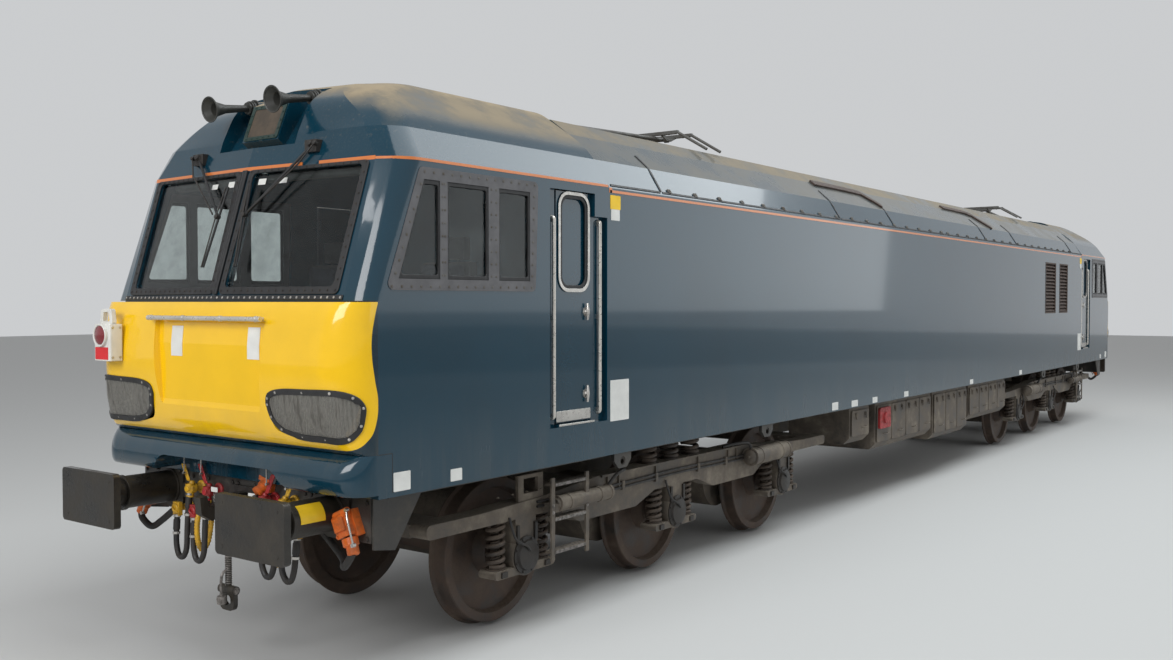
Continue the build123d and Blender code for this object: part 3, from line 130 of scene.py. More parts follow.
def fade(tree, value, low, high, start=0.0, end=1.0, straight=False):
    """A value mapped from one range onto another, smoothly unless straight, and held inside it."""
    node = add_node(tree, "ShaderNodeMapRange", interpolation_type="LINEAR" if straight else "SMOOTHSTEP")
    for name, number in (("From Min", low), ("From Max", high), ("To Min", start), ("To Max", end)):
        node.inputs[name].default_value = number
    tree.links.new(value, node.inputs["Value"])
    return node.outputs["Result"]


def combine(tree, operation, first, second):
    """Two values, or a value and a number, put together by a maths node."""
    node = add_node(tree, "ShaderNodeMath", operation=operation)
    for socket, value in zip(node.inputs, (first, second)):
        if isinstance(value, (int, float)):
            socket.default_value = value
        else:
            tree.links.new(value, socket)
    return node.outputs["Value"]


def mix_colour(tree, factor, first, second):
    """A blend of two colours, each a tuple or a socket."""
    node = add_node(tree, "ShaderNodeMix", data_type="RGBA")
    for index, value in ((0, factor), (6, first), (7, second)):
        socket = node.inputs[index]
        if isinstance(value, (int, float)):
            socket.default_value = value
        elif isinstance(value, tuple):
            socket.default_value = (*value, 1.0)
        else:
            tree.links.new(value, socket)
    return node.outputs[2]


def split_axis(tree, vector, axis):
    """A vector's part along X, Y or Z."""
    split = add_node(tree, "ShaderNodeSeparateXYZ")
    tree.links.new(vector, split.inputs["Vector"])
    return split.outputs[axis]


def place_of(tree, axis):
    """A point's place along X, Y or Z, in metres."""
    return split_axis(tree, object_place(tree), axis)


def facing(tree, axis):
    """How much the surface faces along an axis, from -1 to 1."""
    return split_axis(tree, add_node(tree, "ShaderNodeNewGeometry").outputs["Normal"], axis)


def curve(tree, value, low, high, points):
    """A smooth curve over a value that runs from low to high; points are (value, result)."""
    node = add_node(tree, "ShaderNodeFloatCurve")
    results = [result for place, result in points]
    least, most = min(results), max(results)
    line = node.mapping.curves[0]
    while len(line.points) < len(points):
        line.points.new(0.5, 0.5)
    for point, (place, result) in zip(line.points, points):
        point.location = ((place - low) / (high - low), (result - least) / (most - least))
    node.mapping.update()
    tree.links.new(fade(tree, value, low, high, straight=True), node.inputs["Value"])
    return combine(tree, "ADD", combine(tree, "MULTIPLY", node.outputs["Value"], most - least), least)


def bump(tree, shader, value, strength, distance):
    """Relief on a shader: a value becomes height, in metres."""
    node = add_node(tree, "ShaderNodeBump")
    node.inputs["Strength"].default_value = strength
    node.inputs["Distance"].default_value = distance
    tree.links.new(value, node.inputs["Height"])
    tree.links.new(node.outputs["Normal"], shader.inputs["Normal"])


# Paints, metals, rubber and glass

def darker(colour, share):
    """A share of a colour's light."""
    return tuple(channel * share for channel in colour)


def coach_paint(
    name, colour, dust, roof_grime=0.0, skirt_grime=0.28, wave=0.10, second=None, pattern=None, coat=0.85
):
    """Coach paint: colour under a clear coat, with soft waves in the sheet, dust and streaks.

    A second colour goes where the pattern, a function of the node tree, gives 1.
    """
    material, tree, shader = new_material(name, colour, 0.3)
    shader.inputs["Specular IOR Level"].default_value = 0.2
    cloud = fade(tree, noise(tree, 1.1, 5.0), 0.35, 0.7, 0.0, 0.5)
    tone = mix_colour(tree, cloud, colour, darker(colour, 0.75))
    if pattern:
        tone = mix_colour(tree, pattern(tree), tone, mix_colour(tree, cloud, second, darker(second, 0.75)))
    level = place_of(tree, "Z")
    streak = fade(tree, noise(tree, 5.0, 4.0, 0.6, (1.0, 1.0, 0.12)), 0.4, 0.72)
    dirt = combine(tree, "MULTIPLY", fade(tree, level, 1.85, 1.2, 0.0, skirt_grime), streak)
    if roof_grime:
        settled = fade(tree, facing(tree, "Z"), 0.66, 0.90, 0.0, roof_grime)
        blotch = fade(tree, noise(tree, 1.6, 7.0, 0.68), 0.28, 0.62, 0.25, 1.0)
        dirt = combine(tree, "MAXIMUM", dirt, combine(tree, "MULTIPLY", settled, blotch))
        speck = fade(tree, noise(tree, 26.0, 3.0, 0.6), 0.58, 0.78, 0.0, 0.16 * roof_grime)
        dirt = combine(tree, "MAXIMUM", dirt, combine(tree, "MULTIPLY", speck, fade(tree, level, 3.3, 3.5)))
    dirt = combine(tree, "MAXIMUM", dirt, fade(tree, noise(tree, 70.0, 3.0), 0.48, 0.85, 0.0, 0.05))
    finish_shader(tree, shader, mix_colour(tree, dirt, tone, dust), fade(tree, dirt, 0.0, 0.7, 0.2, 0.7))
    tree.links.new(fade(tree, dirt, 0.1, 0.8, coat, 0.05), shader.inputs["Coat Weight"])
    bump(tree, shader, noise(tree, 2.2, 2.0, 0.5, (0.7, 1.0, 1.0)), wave, 0.02)
    return material


def plain_paint(name, colour, roughness, variation=0.25, grain=35.0, coat=0.0, metallic=0.0):
    """A paint, plastic or clean metal with a cloudy tone and a fine grain."""
    material, tree, shader = new_material(name, colour, roughness, metallic, coat)
    light = tuple(min(1.0, channel * (1 + variation) + 0.004) for channel in colour)
    cloud = noise(tree, grain / 6.0, 5.0, 0.6)
    tone = ramp(tree, cloud, [(0.3, darker(colour, 1 - variation)), (0.7, light)])
    gloss = fade(tree, noise(tree, grain), 0.3, 0.7, max(0.05, roughness - 0.08), roughness + 0.1)
    finish_shader(tree, shader, tone, gloss)
    bump(tree, shader, noise(tree, grain * 5, 3.0), 0.15, 0.002)
    return material


def grimy_paint(name, colour, grime, share=0.5, roughness=0.5, grain=9.0):
    """A paint that shows through oily dirt, with more of it on what faces up."""
    material, tree, shader = new_material(name, colour, roughness)
    patch = fade(tree, noise(tree, grain, 7.0, 0.65), 0.35, 0.66, 0.0, share)
    settled = fade(tree, facing(tree, "Z"), 0.1, 0.9, 0.0, 0.55)
    dust = combine(tree, "MULTIPLY", settled, fade(tree, noise(tree, 30.0), 0.3, 0.6))
    dirt = combine(tree, "MAXIMUM", patch, dust)
    finish_shader(
        tree, shader, mix_colour(tree, dirt, colour, grime), fade(tree, dirt, 0.0, 1.0, roughness, 0.85)
    )
    bump(tree, shader, noise(tree, 60.0, 4.0), 0.25, 0.003)
    return material


def dirty_steel(name, base, rust, dust, roughness=0.75, settle=0.8):
    """Running gear: dark oily steel under brake dust, more of it on what faces up."""
    material, tree, shader = new_material(name, base, roughness)
    patch = noise(tree, 4.0, 7.0, 0.65)
    fine = noise(tree, 38.0, 5.0, 0.6)
    tone = ramp(tree, patch, [(0.32, base), (0.52, rust), (0.74, dust)])
    upward = fade(tree, facing(tree, "Z"), 0.2, 0.9)
    cover = combine(tree, "MULTIPLY", upward, fade(tree, fine, 0.3, 0.6, 0.35 * settle, settle))
    gloss = (roughness - 0.25, roughness + 0.1)
    finish_shader(tree, shader, mix_colour(tree, cover, tone, dust), fade(tree, patch, 0.3, 0.7, *gloss))
    bump(tree, shader, fine, 0.35, 0.006)
    return material


def glass_material(name, tint, film):
    """Glass with a thin uneven film of dirt."""
    material, tree, shader = new_material(name, tint, 0.0)
    shader.inputs["Transmission Weight"].default_value = 1.0
    shader.inputs["IOR"].default_value = 1.3
    shader.inputs["Specular IOR Level"].default_value = 0.4
    dust = fade(tree, noise(tree, 7.0, 6.0, 0.65), 0.4, 0.75, 0.0, 1.0)
    tone = mix_colour(tree, dust, tint, darker(tint, 0.82))
    finish_shader(tree, shader, tone, fade(tree, dust, 0.0, 1.0, 0.01, film))
    bump(tree, shader, noise(tree, 1.8, 1.0), 0.05, 0.01)
    return material


def lens_material(name, tint, film):
    """A fluted lens under a grey film of dirt, with pale upright runs in it."""
    material, tree, shader = new_material(name, tint, film)
    run = fade(tree, noise(tree, 26.0, 4.0, 0.6, (1.0, 1.0, 0.10)), 0.42, 0.66)
    spots = fade(tree, noise(tree, 60.0, 4.0), 0.45, 0.7)
    dirt = combine(tree, "MAXIMUM", run, combine(tree, "MULTIPLY", spots, 0.7))
    tone = mix_colour(tree, dirt, tint, (0.125, 0.116, 0.100))
    finish_shader(tree, shader, tone, fade(tree, dirt, 0.0, 1.0, film, 0.6))
    tree.links.new(fade(tree, dirt, 0.0, 1.0, 0.80, 0.38), shader.inputs["Transmission Weight"])
    flutes = add_node(tree, "ShaderNodeTexWave", wave_type="BANDS", bands_direction="Y", wave_profile="SIN")
    flutes.inputs["Scale"].default_value = 18.0
    flutes.inputs["Distortion"].default_value = 0.0
    tree.links.new(object_place(tree), flutes.inputs["Vector"])
    bump(tree, shader, flutes.outputs["Fac"], 0.6, 0.004)
    return material


def outside_nose_panel(tree):
    """1 on the nose's blue and black edge, outside the yellow panel's drawn outline; 0 on the panel."""
    level = place_of(tree, "Z")
    edge = curve(tree, level, 1.480, 2.400, NOSE_EDGE)
    reach = combine(tree, "ABSOLUTE", place_of(tree, "X"), 0.0)
    return fade(tree, combine(tree, "SUBTRACT", reach, edge), -0.0012, 0.0012, 1.0, 0.0, straight=True)


# The yellow panel's edge on the nose: (height, distance from the middle of the locomotive)
NOSE_EDGE = [
    (1.480, 10.420), (1.497, 10.330), (1.512, 10.262), (1.567, 10.182), (1.661, 10.120), (1.790, 10.099),
    (1.934, 10.124), (2.060, 10.144), (2.180, 10.146), (2.300, 10.124), (2.400, 10.094),
]
BLUE = (0.0016, 0.0345, 0.0600)
YELLOW = (0.96, 0.57, 0.004)
M = {
    "body_blue": coach_paint("body_blue_paint", BLUE, (0.070, 0.078, 0.078)),
    "roof_blue": coach_paint("roof_blue_paint", BLUE, (0.36, 0.285, 0.185), roof_grime=0.95, coat=0.50),
    "nose_yellow": coach_paint(
        "nose_yellow_paint", YELLOW, (0.36, 0.25, 0.08), skirt_grime=0.3, wave=0.05,
        second=darker(BLUE, 0.6), pattern=outside_nose_panel,
    ),
    "line_orange": coach_paint("line_orange_paint", (0.70, 0.205, 0.050), (0.30, 0.13, 0.06), wave=0.03),
    "frame_grey": plain_paint("window_frame_grey", (0.095, 0.093, 0.098), 0.42),
    "glass": glass_material("window_glass", (0.68, 0.73, 0.72), 0.05),
    "lamp_glass": lens_material("lamp_lens", (0.52, 0.50, 0.45), 0.30),
}
# Colour, roughness, variation, grain, coat, metallic
PLAIN_PAINTS = {
    "black_rubber": ((0.012, 0.012, 0.013), 0.5),
    "rail_bright": ((0.62, 0.59, 0.54), 0.32, 0.12, 35.0, 0.0, 0.7),
    "horn_dark": ((0.030, 0.030, 0.026), 0.45),
    "louvre_brown": ((0.055, 0.033, 0.024), 0.6),
    "insulator_brown": ((0.13, 0.045, 0.022), 0.18, 0.25, 35.0, 0.5),
    "lamp_white": ((0.72, 0.71, 0.67), 0.4, 0.08),
    "cab_grey": ((0.020, 0.021, 0.022), 0.6),
    "transformer_grey": ((0.16, 0.17, 0.17), 0.6),
    "plate_white": ((0.72, 0.72, 0.69), 0.45, 0.10),
    "plate_yellow": ((0.86, 0.55, 0.015), 0.45, 0.10),
    "lens_red": ((0.20, 0.008, 0.014), 0.18, 0.2, 35.0, 0.6),
    "panel_red": ((0.66, 0.014, 0.020), 0.35, 0.1),
    "bright_steel": ((0.50, 0.48, 0.45), 0.30, 0.15, 35.0, 0.0, 0.85),
    "lamp_reflector": ((0.80, 0.80, 0.77), 0.4, 0.1, 35.0, 0.0, 0.3),
    "bulb_glass": ((0.22, 0.22, 0.205), 0.45, 0.05),
    "rim_green": ((0.010, 0.030, 0.024), 0.45),
    "blind_grey": ((0.075, 0.080, 0.076), 0.75, 0.12),
    "seat_cloth": ((0.018, 0.022, 0.035), 0.9, 0.3, 90.0),
}
# Colour, grime, share, roughness, grain
GRIMY_PAINTS = {
    "roof_steel": ((0.13, 0.125, 0.115), (0.075, 0.060, 0.045), 0.8),
    "panto_steel": ((0.11, 0.11, 0.105), (0.060, 0.050, 0.040), 0.6),
    "fitting_orange": ((0.78, 0.155, 0.018), (0.20, 0.07, 0.03), 0.55, 0.38, 16.0),
    "cock_yellow": ((0.72, 0.40, 0.012), (0.12, 0.08, 0.04), 0.6, 0.42, 22.0),
    "cock_red": ((0.42, 0.018, 0.022), (0.07, 0.03, 0.025), 0.6, 0.42, 22.0),
    "hose_rubber": ((0.012, 0.012, 0.013), (0.045, 0.038, 0.032), 0.7, 0.45, 18.0),
    "worn_steel": ((0.22, 0.20, 0.185), (0.030, 0.025, 0.020), 0.75, 0.35, 30.0),
    "niche_brown": ((0.085, 0.062, 0.042), (0.030, 0.028, 0.024), 0.5, 0.7),
}
# Base, rust, dust, roughness, settling
DIRTY_STEELS = {
    "bogie_steel": ((0.050, 0.044, 0.038), (0.120, 0.098, 0.076), (0.250, 0.216, 0.172)),
    "spring_steel": ((0.022, 0.019, 0.017), (0.060, 0.044, 0.033), (0.14, 0.105, 0.078)),
    "wheel_steel": ((0.030, 0.023, 0.019), (0.070, 0.045, 0.032), (0.12, 0.09, 0.068)),
    "buffer_steel": ((0.010, 0.009, 0.008), (0.022, 0.018, 0.013), (0.048, 0.040, 0.029), 0.5, 0.35),
    "dark_iron": ((0.010, 0.009, 0.009), (0.022, 0.018, 0.015), (0.045, 0.037, 0.030), 0.6, 0.5),
    # The underframe's steel is darker than the bogie's: painted shade on the headstock under the valance,
    # with dust and rust as on the other steels
    "underframe_black": ((0.018, 0.017, 0.016), (0.040, 0.037, 0.033), (0.085, 0.076, 0.064), 0.6, 0.5),
}
for maker, rows in ((plain_paint, PLAIN_PAINTS), (grimy_paint, GRIMY_PAINTS), (dirty_steel, DIRTY_STEELS)):
    for name, row in rows.items():
        M[name] = maker(name, *row)

slot_of = {row["node"]: row["material_slot"] for row in frame["record"]["subparts"]}
# The underframe node gets the darker steel, whose extra darkness is painted shade under the valance
for name, node in nodes.items():
    node.data.materials.clear()
    node.data.materials.append(M["underframe_black" if name == "underframe" else slot_of[name]])


def skin_of(*names):
    """A search tree over the CAD skins of some nodes."""
    verts = []
    faces = []
    for name in names:
        mesh = nodes[name].data
        place = nodes[name].matrix_world
        start = len(verts)
        verts.extend(place @ vert.co for vert in mesh.vertices)
        faces.extend(tuple(start + index for index in polygon.vertices) for polygon in mesh.polygons)
    return BVHTree.FromPolygons(verts, faces)


def dropped(skin, start, direction):
    """Where a ray meets a skin, and the skin's outward direction there."""
    point, normal = skin.ray_cast(Vector(start), Vector(direction))[:2]
    if normal.dot(Vector(direction)) > 0:
        normal = -normal
    return point, normal


# Mesh helpers

BEVEL_ANGLE = math.radians(40)


def piece(name, bm, slot, material=None, body="body", sharp=35.0, bevel=0.0, replaces=()):
    """A finished object from a bmesh, in the shared frame, riding on a CAD body.

    Its material is the one of its slot unless another is named.
    """
    bmesh.ops.recalc_face_normals(bm, faces=bm.faces)
    mesh = bpy.data.meshes.new(name)
    bm.to_mesh(mesh)
    bm.free()
    mesh.materials.append(M[material or slot])
    for polygon in mesh.polygons:
        polygon.use_smooth = True
    mesh.set_sharp_from_angle(angle=math.radians(sharp))
    obj = bpy.data.objects.new(name, mesh)
    bpy.context.scene.collection.objects.link(obj)
    if bevel:
        modifier = obj.modifiers.new("edge", "BEVEL")
        modifier.width = bevel
        modifier.segments = 2
        modifier.limit_method = "ANGLE"
        modifier.angle_limit = BEVEL_ANGLE
        modifier.harden_normals = False
    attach(obj, body)
    if replaces:
        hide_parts(*replaces)
    return obj


def ribbon(bm, rows, joined=False, capped=True):
    """Faces between rows of points that each go once round; the last joins the first, or both are capped."""
    made = [[bm.verts.new(point) for point in row] for row in rows]
    if joined:
        made.append(made[0])
    elif capped:
        bm.faces.new(made[0])
        bm.faces.new(made[-1])
    for one, two in zip(made, made[1:]):
        for index in range(len(one)):
            after = (index + 1) % len(one)
            bm.faces.new((one[index], one[after], two[after], two[index]))


def prism(bm, outline, place, depth):
    """A plate from a closed outline; place(u, v, w) puts its points, with w from 0 to the depth."""
    ribbon(bm, [[place(u, v, level) for u, v in outline] for level in (0.0, depth)])


def ring(bm, outer, inner, place, depth):
    """A frame between two outlines that have as many points as each other."""
    section = ((outer, 0.0), (outer, depth), (inner, depth), (inner, 0.0))
    ribbon(bm, [[place(u, v, level) for u, v in outline] for outline, level in section], joined=True)


def rounded(outline, radius, steps=5):
    """A closed outline with its corners rounded."""
    points = []
    count = len(outline)
    for index, corner in enumerate(outline):
        here = Vector(corner)
        before = Vector(outline[index - 1]) - here
        after = Vector(outline[(index + 1) % count]) - here
        half = before.angle(after) / 2
        reach = min(radius / math.tan(half), before.length * 0.49, after.length * 0.49)
        size = reach * math.tan(half)
        centre = here + (before.normalized() + after.normalized()).normalized() * (size / math.sin(half))
        start = here + before.normalized() * reach - centre
        end = here + after.normalized() * reach - centre
        turn = math.atan2(start.x * end.y - start.y * end.x, start.dot(end))
        for step in range(steps + 1):
            points.append(tuple(centre + Matrix.Rotation(turn * step / steps, 2) @ start))
    return points


def block(bm, low, high, transform=None):
    """A box between two corners, to be bevelled by its piece."""
    corners = [
        Vector((x, y, z)) for x in (low[0], high[0]) for y in (low[1], high[1]) for z in (low[2], high[2])
    ]
    if transform is not None:
        corners = [transform @ corner for corner in corners]
    verts = [bm.verts.new(corner) for corner in corners]
    for face in ((0, 1, 3, 2), (4, 6, 7, 5), (0, 4, 5, 1), (2, 3, 7, 6), (0, 2, 6, 4), (1, 5, 7, 3)):
        bm.faces.new([verts[index] for index in face])


def ways_along(points):
    """The direction in which a path runs at each of its points."""
    pairs = zip(points[:1] + points[:-1], points[1:] + points[-1:])
    return [(after - before).normalized() for before, after in pairs]


def frames_along(points):
    """A frame at each point of a path, carried along it without twist."""
    points = [Vector(point) for point in points]
    ways = ways_along(points)
    side = ways[0].orthogonal().normalized()
    rows = []
    for point, tangent in zip(points, ways):
        side = (side - tangent * side.dot(tangent)).normalized()
        rows.append((point, side, tangent.cross(side)))
    return rows


def circle(centre, side, up, radius, count, start=0.0):
    """Points round a centre, in the plane of two directions, from a starting angle."""
    angles = (start + 2 * math.pi * step / count for step in range(count))
    return [centre + (side * math.cos(angle) + up * math.sin(angle)) * radius for angle in angles]


def tube(bm, points, radius, sides, closed_ends=True):
    """A round bar along a path; radius is a number or one for each point."""
    rings = []
    for index, (point, side, up) in enumerate(frames_along(points)):
        size = radius[index] if isinstance(radius, (list, tuple)) else radius
        rings.append(circle(point, side, up, size, sides))
    ribbon(bm, rings, capped=closed_ends)


def smooth_path(points, steps):
    """A smooth curve through the points, for hoses and cables."""
    points = [Vector(point) for point in points]
    padded = [2 * points[0] - points[1]] + points + [2 * points[-1] - points[-2]]
    path = []
    for index in range(len(points) - 1):
        a, b, c, d = padded[index:index + 4]
        for step in range(steps):
            t = step / steps
            path.append(0.5 * (
                2 * b + (c - a) * t + (2 * a - 5 * b + 4 * c - d) * t * t + (3 * b - a - 3 * c + d) * t ** 3
            ))
    path.append(points[-1])
    return path


def lathe(bm, profile, origin, direction, sides):
    """A turned piece: profile is (distance along the axis, radius), open where a radius is not zero."""
    origin = Vector(origin)
    axis = Vector(direction).normalized()
    side = axis.orthogonal().normalized()
    up = axis.cross(side)
    rings = []
    for along, radius in profile:
        centre = origin + axis * along
        if radius < 1e-6:
            rings.append([bm.verts.new(centre)])
            continue
        rings.append([bm.verts.new(point) for point in circle(centre, side, up, radius, sides)])
    for one, two in zip(rings, rings[1:]):
        for step in range(sides):
            after = (step + 1) % sides
            if len(one) == 1:
                bm.faces.new((one[0], two[step], two[after]))
            elif len(two) == 1:
                bm.faces.new((one[step], two[0], one[after]))
            else:
                bm.faces.new((one[step], two[step], two[after], one[after]))


def bolt(bm, place, direction, radius, height):
    """A six-sided bolt head on a washer."""
    head = [(0.0, radius), (height * 0.8, radius), (height, radius * 0.8), (height, 0.0)]
    lathe(bm, drum(0.0, 0.0015, radius * 1.5), place, direction, 12)
    lathe(bm, head, place, direction, 6)


def at_both_ends(bm):
    """Doubles a bmesh: what it holds is also turned half round for end 2."""
    copy = bmesh.ops.duplicate(bm, geom=bm.verts[:] + bm.edges[:] + bm.faces[:])
    verts = [item for item in copy["geom"] if isinstance(item, bmesh.types.BMVert)]
    bmesh.ops.transform(bm, matrix=HALF_TURN, verts=verts)


def turned(bm):
    """Turns a bmesh half round, to end 2."""
    bmesh.ops.transform(bm, matrix=HALF_TURN, verts=bm.verts)


def rect(low, foot, high, head):
    """The outline of an upright or level rectangle."""
    return [(low, foot), (high, foot), (high, head), (low, head)]


def drum(start, end, radius, bore=0.0):
    """The profile of a disc or, with a bore, of a collar."""
    return [(start, bore), (start, radius), (end, radius), (end, bore)]


def filled(build, bm, sides):
    """Runs a builder on a bmesh, once for each side or once for all."""
    if sides:
        for side in SIDES:
            build(bm, side)
    else:
        build(bm)


def on_body(slot, material=None, sides=True, both_ends=True, **settings):
    """Makes a builder's piece on the body at once, in its name, at both ends unless told otherwise."""
    def run(build):
        bm = bmesh.new()
        filled(build, bm, sides)
        if both_ends:
            at_both_ends(bm)
        piece(build.__name__, bm, slot, material, **settings)
        return build
    return run


def at_each_end(slot, material=None, body="bogie_{}", sides=True, replaces=(), **settings):
    """Makes a builder's two pieces at once, one for each end, whose number goes in the names."""
    def run(build):
        for end, turn in ENDS:
            bm = bmesh.new()
            filled(build, bm, sides)
            bmesh.ops.transform(bm, matrix=turn, verts=bm.verts)
            gone = [node.format(end) for node in replaces]
            name = f"{build.__name__}_{end}"
            piece(name, bm, slot, material, body.format(end), replaces=gone, **settings)
        return build
    return run


# Places on the cab's skin

def screen_x(y, z):
    """The front of the windscreen zone at a height and distance from the centre line."""
    return SCREEN_CENTRE - SCREEN_RAKE * (z - SCREEN_FOOT) - SCREEN_SWEEP * abs(y) / SCREEN_EDGE


def on_screen(side, base=0.0):
    """Placing function for a windscreen, u from the centre line, v up, w proud; and its outward direction."""
    normal = Vector((1.0, side * SCREEN_SWEEP / SCREEN_EDGE, SCREEN_RAKE)).normalized()

    def place(u, v, w):
        return Vector((screen_x(u, v), side * u, v)) + normal * (w + base)
    return place, normal


def cab_top_line():
    """Plan points of the cab's skin at the waist line's height, from the centre to its side."""
    crease = (9.9066, 1.235)
    bend = 9.735
    reach = crease[0] - bend
    drop = BODY_HALF - crease[1]
    radius = (reach ** 2 + drop ** 2) / (2 * drop)
    full = math.asin(reach / radius)
    points = [(10.0186, 0.0), (10.0186 - SCREEN_SWEEP, SCREEN_EDGE)]
    for step in range(9):
        angle = full * (1 - step / 8)
        points.append((bend + radius * math.sin(angle), BODY_HALF - radius + radius * math.cos(angle)))
    return points


def line_strip(bm, path, low, high, stand):
    """A painted line or moulding along plan points, between two heights, standing a little proud."""
    path = [Vector(point) for point in path]
    rows = []
    for point, way in zip(path, ways_along(path)):
        out = Vector((way.y, -way.x))
        if out.dot(point - Vector((9.0, 0.0))) < 0:
            out = -out
        near = point - out * 0.002
        far = point + out * stand
        rows.append([(*near, low), (*far, low), (*far, high), (*near, high)])
    ribbon(bm, rows)


# Windscreens: rubber surrounds, centre pillar, bolted band under them, wipers; and the orange line

PANE = [(0.072, 2.487), (1.052, 2.485), (1.067, 3.240), (0.085, 3.238)]
SURROUND = [(0.030, 2.440), (1.104, 2.438), (1.120, 3.262), (0.040, 3.262)]
CAB_LINE = 3.262
BODY_LINE = 3.224
BOLT_LINE = [(0.052, 2.463), (1.078, 2.461), (1.093, 3.250), (0.062, 3.250)]


@on_body("black_rubber", bevel=0.003)
def screen_surrounds(bm, side):
    """The rubber frame round each windscreen."""
    ring(bm, rounded(SURROUND, 0.035), rounded(PANE, 0.032), on_screen(side)[0], 0.010)


@on_body("black_rubber", "dark_iron")
def screen_bolts(bm, side):
    """Bolts through the windscreens' frames."""
    place, normal = on_screen(side)
    for index, start in enumerate(BOLT_LINE):
        end = BOLT_LINE[(index + 1) % 4]
        count = 16 if index % 2 == 0 else 12
        for step in range(count):
            u = start[0] + (end[0] - start[0]) * step / count
            v = start[1] + (end[1] - start[1]) * step / count
            bolt(bm, place(u, v, 0.0095), normal, 0.0062, 0.005)


@on_body("black_rubber", bevel=0.003)
def screen_pillar(bm, side):
    """The black cover between the windscreens and the bolted band along their foot."""
    place = on_screen(side)[0]
    prism(bm, [(0.0, 2.440), (0.020, 2.440), (0.024, 3.262), (0.0, 3.262)], place, 0.016)
    prism(bm, rounded(rect(0.0, 2.404, 1.150, 2.434), 0.004), place, 0.008)


@on_body("black_rubber", "bright_steel")
def band_bolts(bm, side):
    """Bolts along the band under the windscreens."""
    place, normal = on_screen(side)
    for step in range(22):
        bolt(bm, place(0.03 + step * 0.0525, 2.419, 0.0075), normal, 0.0055, 0.004)


@on_body("black_rubber", "dark_iron", bevel=0.0025)
def wiper_gear(bm, side):
    """Boxes that the wiper spindles come out of, the second arm of each wiper, and the blades' rubber."""
    ahead = (1, 0, 0.3)
    middle = side * 0.599
    pivot = side * 0.649
    block(bm, (9.925, middle - 0.055, 3.345), (9.985, middle + 0.055, 3.425))
    knob = [(0.0, 0.024), (0.012, 0.028), (0.026, 0.020), (0.040, 0.018), (0.046, 0.0)]
    lathe(bm, knob, (9.962, middle, 3.392), ahead, 16)
    lathe(bm, [(0.0, 0.014), (0.030, 0.014), (0.034, 0.0)], (9.975, pivot, 3.392), ahead, 12)
    tube(bm, [(9.995, pivot, 3.398), (10.050, side * 0.560, 3.268), (10.158, side * 0.186, 2.975)], 0.0060, 8)
    blade = [(10.094, side * 0.121, 3.160), (10.160, side * 0.144, 2.956), (10.252, side * 0.175, 2.620)]
    tube(bm, [Vector(point) + Vector((0.004, 0, 0)) for point in blade], 0.0050, 6)
    pin = [(0.0, 0.0), (0.0, 0.016), (0.018, 0.016), (0.022, 0.0)]
    lathe(bm, pin, Vector(blade[1]) - Vector((0.01, 0, 0)), ahead, 12)


@on_body("fitting_orange", "line_orange")
def orange_lines(bm, side):
    """The thin orange line: across the front, round the corners, along the cab and on along the body."""
    line = [(x, side * y) for x, y in cab_top_line()]
    wall = side * BODY_HALF
    centre, edge = Vector(line[0]), Vector(line[1])
    line_strip(bm, [centre, centre.lerp(edge, 0.455)], CAB_LINE, 3.286, 0.004)
    line_strip(bm, [centre.lerp(edge, 0.585), edge], CAB_LINE, 3.286, 0.004)
    line_strip(bm, line[1:] + [(7.752, wall)], CAB_LINE, 3.280, 0.003)
    line_strip(bm, [(7.728, wall), (0.0, wall)], BODY_LINE, 3.244, 0.003)
    line_strip(bm, [(7.736, wall), (7.700, wall)], BODY_LINE, CAB_LINE, 0.003)


# Side windows of the cab

WINDOW_FRAME = [(8.600, 3.225), (9.750, 3.225), (10.035, 2.466), (8.630, 2.466)]
WINDOW_PANES = [
    rect(8.690, 2.535, 9.015, 3.150),
    rect(9.120, 2.535, 9.510, 3.150),
    [(9.577, 2.535), (9.935, 2.535), (9.717, 3.150), (9.577, 3.150)],
]


def side_place(side, base=BODY_HALF):
    """Placing function for the body's side: u is x, v the height, w stands proud."""
    def place(u, v, w=0.0):
        return Vector((u, side * (base + w), v))
    return place


def drawn_to(middle, outline, distance):
    """An outline's corners, each moved towards a point."""
    return [Vector(spot) + (middle - Vector(spot)).normalized() * distance for spot in outline]


@on_body("black_rubber", bevel=0.003)
def window_seals(bm, side):
    """Black rubber round each side pane."""
    for pane in WINDOW_PANES:
        centre = Vector((sum(spot[0] for spot in pane) / 4, sum(spot[1] for spot in pane) / 4))
        inner = [tuple(spot) for spot in drawn_to(centre, pane, 0.030)]
        ring(bm, rounded(pane, 0.006), rounded(inner, 0.020), side_place(side, BODY_HALF - 0.012), 0.014)


@on_body("frame_grey", "roof_steel")
def window_bolts(bm, side):
    """Bolts round the side windows' frame and on the bars between the panes."""
    place = side_place(side, BODY_HALF + 0.0058)
    outline = drawn_to(Vector((9.25, 2.845)), WINDOW_FRAME, 0.048)
    for index, start in enumerate(outline):
        end = outline[(index + 1) % 4]
        count = max(6, round((end - start).length / 0.082))
        for step in range(count):
            bolt(bm, place(*start.lerp(end, step / count)), (0, side, 0), 0.0065, 0.004)
    for x in (9.045, 9.092, 9.532, 9.556):
        for step in range(8):
            bolt(bm, place(x, 2.56 + step * 0.082), (0, side, 0), 0.0055, 0.0035)


# Doors: each rides on its own leaf

DOORS = (("door_1_left", 1, 0), ("door_1_right", -1, 0), ("door_2_right", 1, 1), ("door_2_left", -1, 1))
LEAF_OUTER = BODY_HALF - 0.035
DOOR_WINDOW = rounded(rect(7.975, 2.49, 8.305, 3.17), 0.090, 8)
HANDLE_BAR = ((0.062, 0.019), (0.0, 0.024), (-0.062, 0.019))


def door_rim(bm, side):
    """Bright rim of the door's window and its kick plate."""
    rim = rounded(rect(7.949, 2.464, 8.331, 3.196), 0.116, 8)
    ring(bm, rim, DOOR_WINDOW, side_place(side, LEAF_OUTER + 0.006), 0.005)
    prism(bm, rounded(rect(7.932, 1.522, 8.348, 1.60), 0.01), side_place(side, LEAF_OUTER), 0.003)


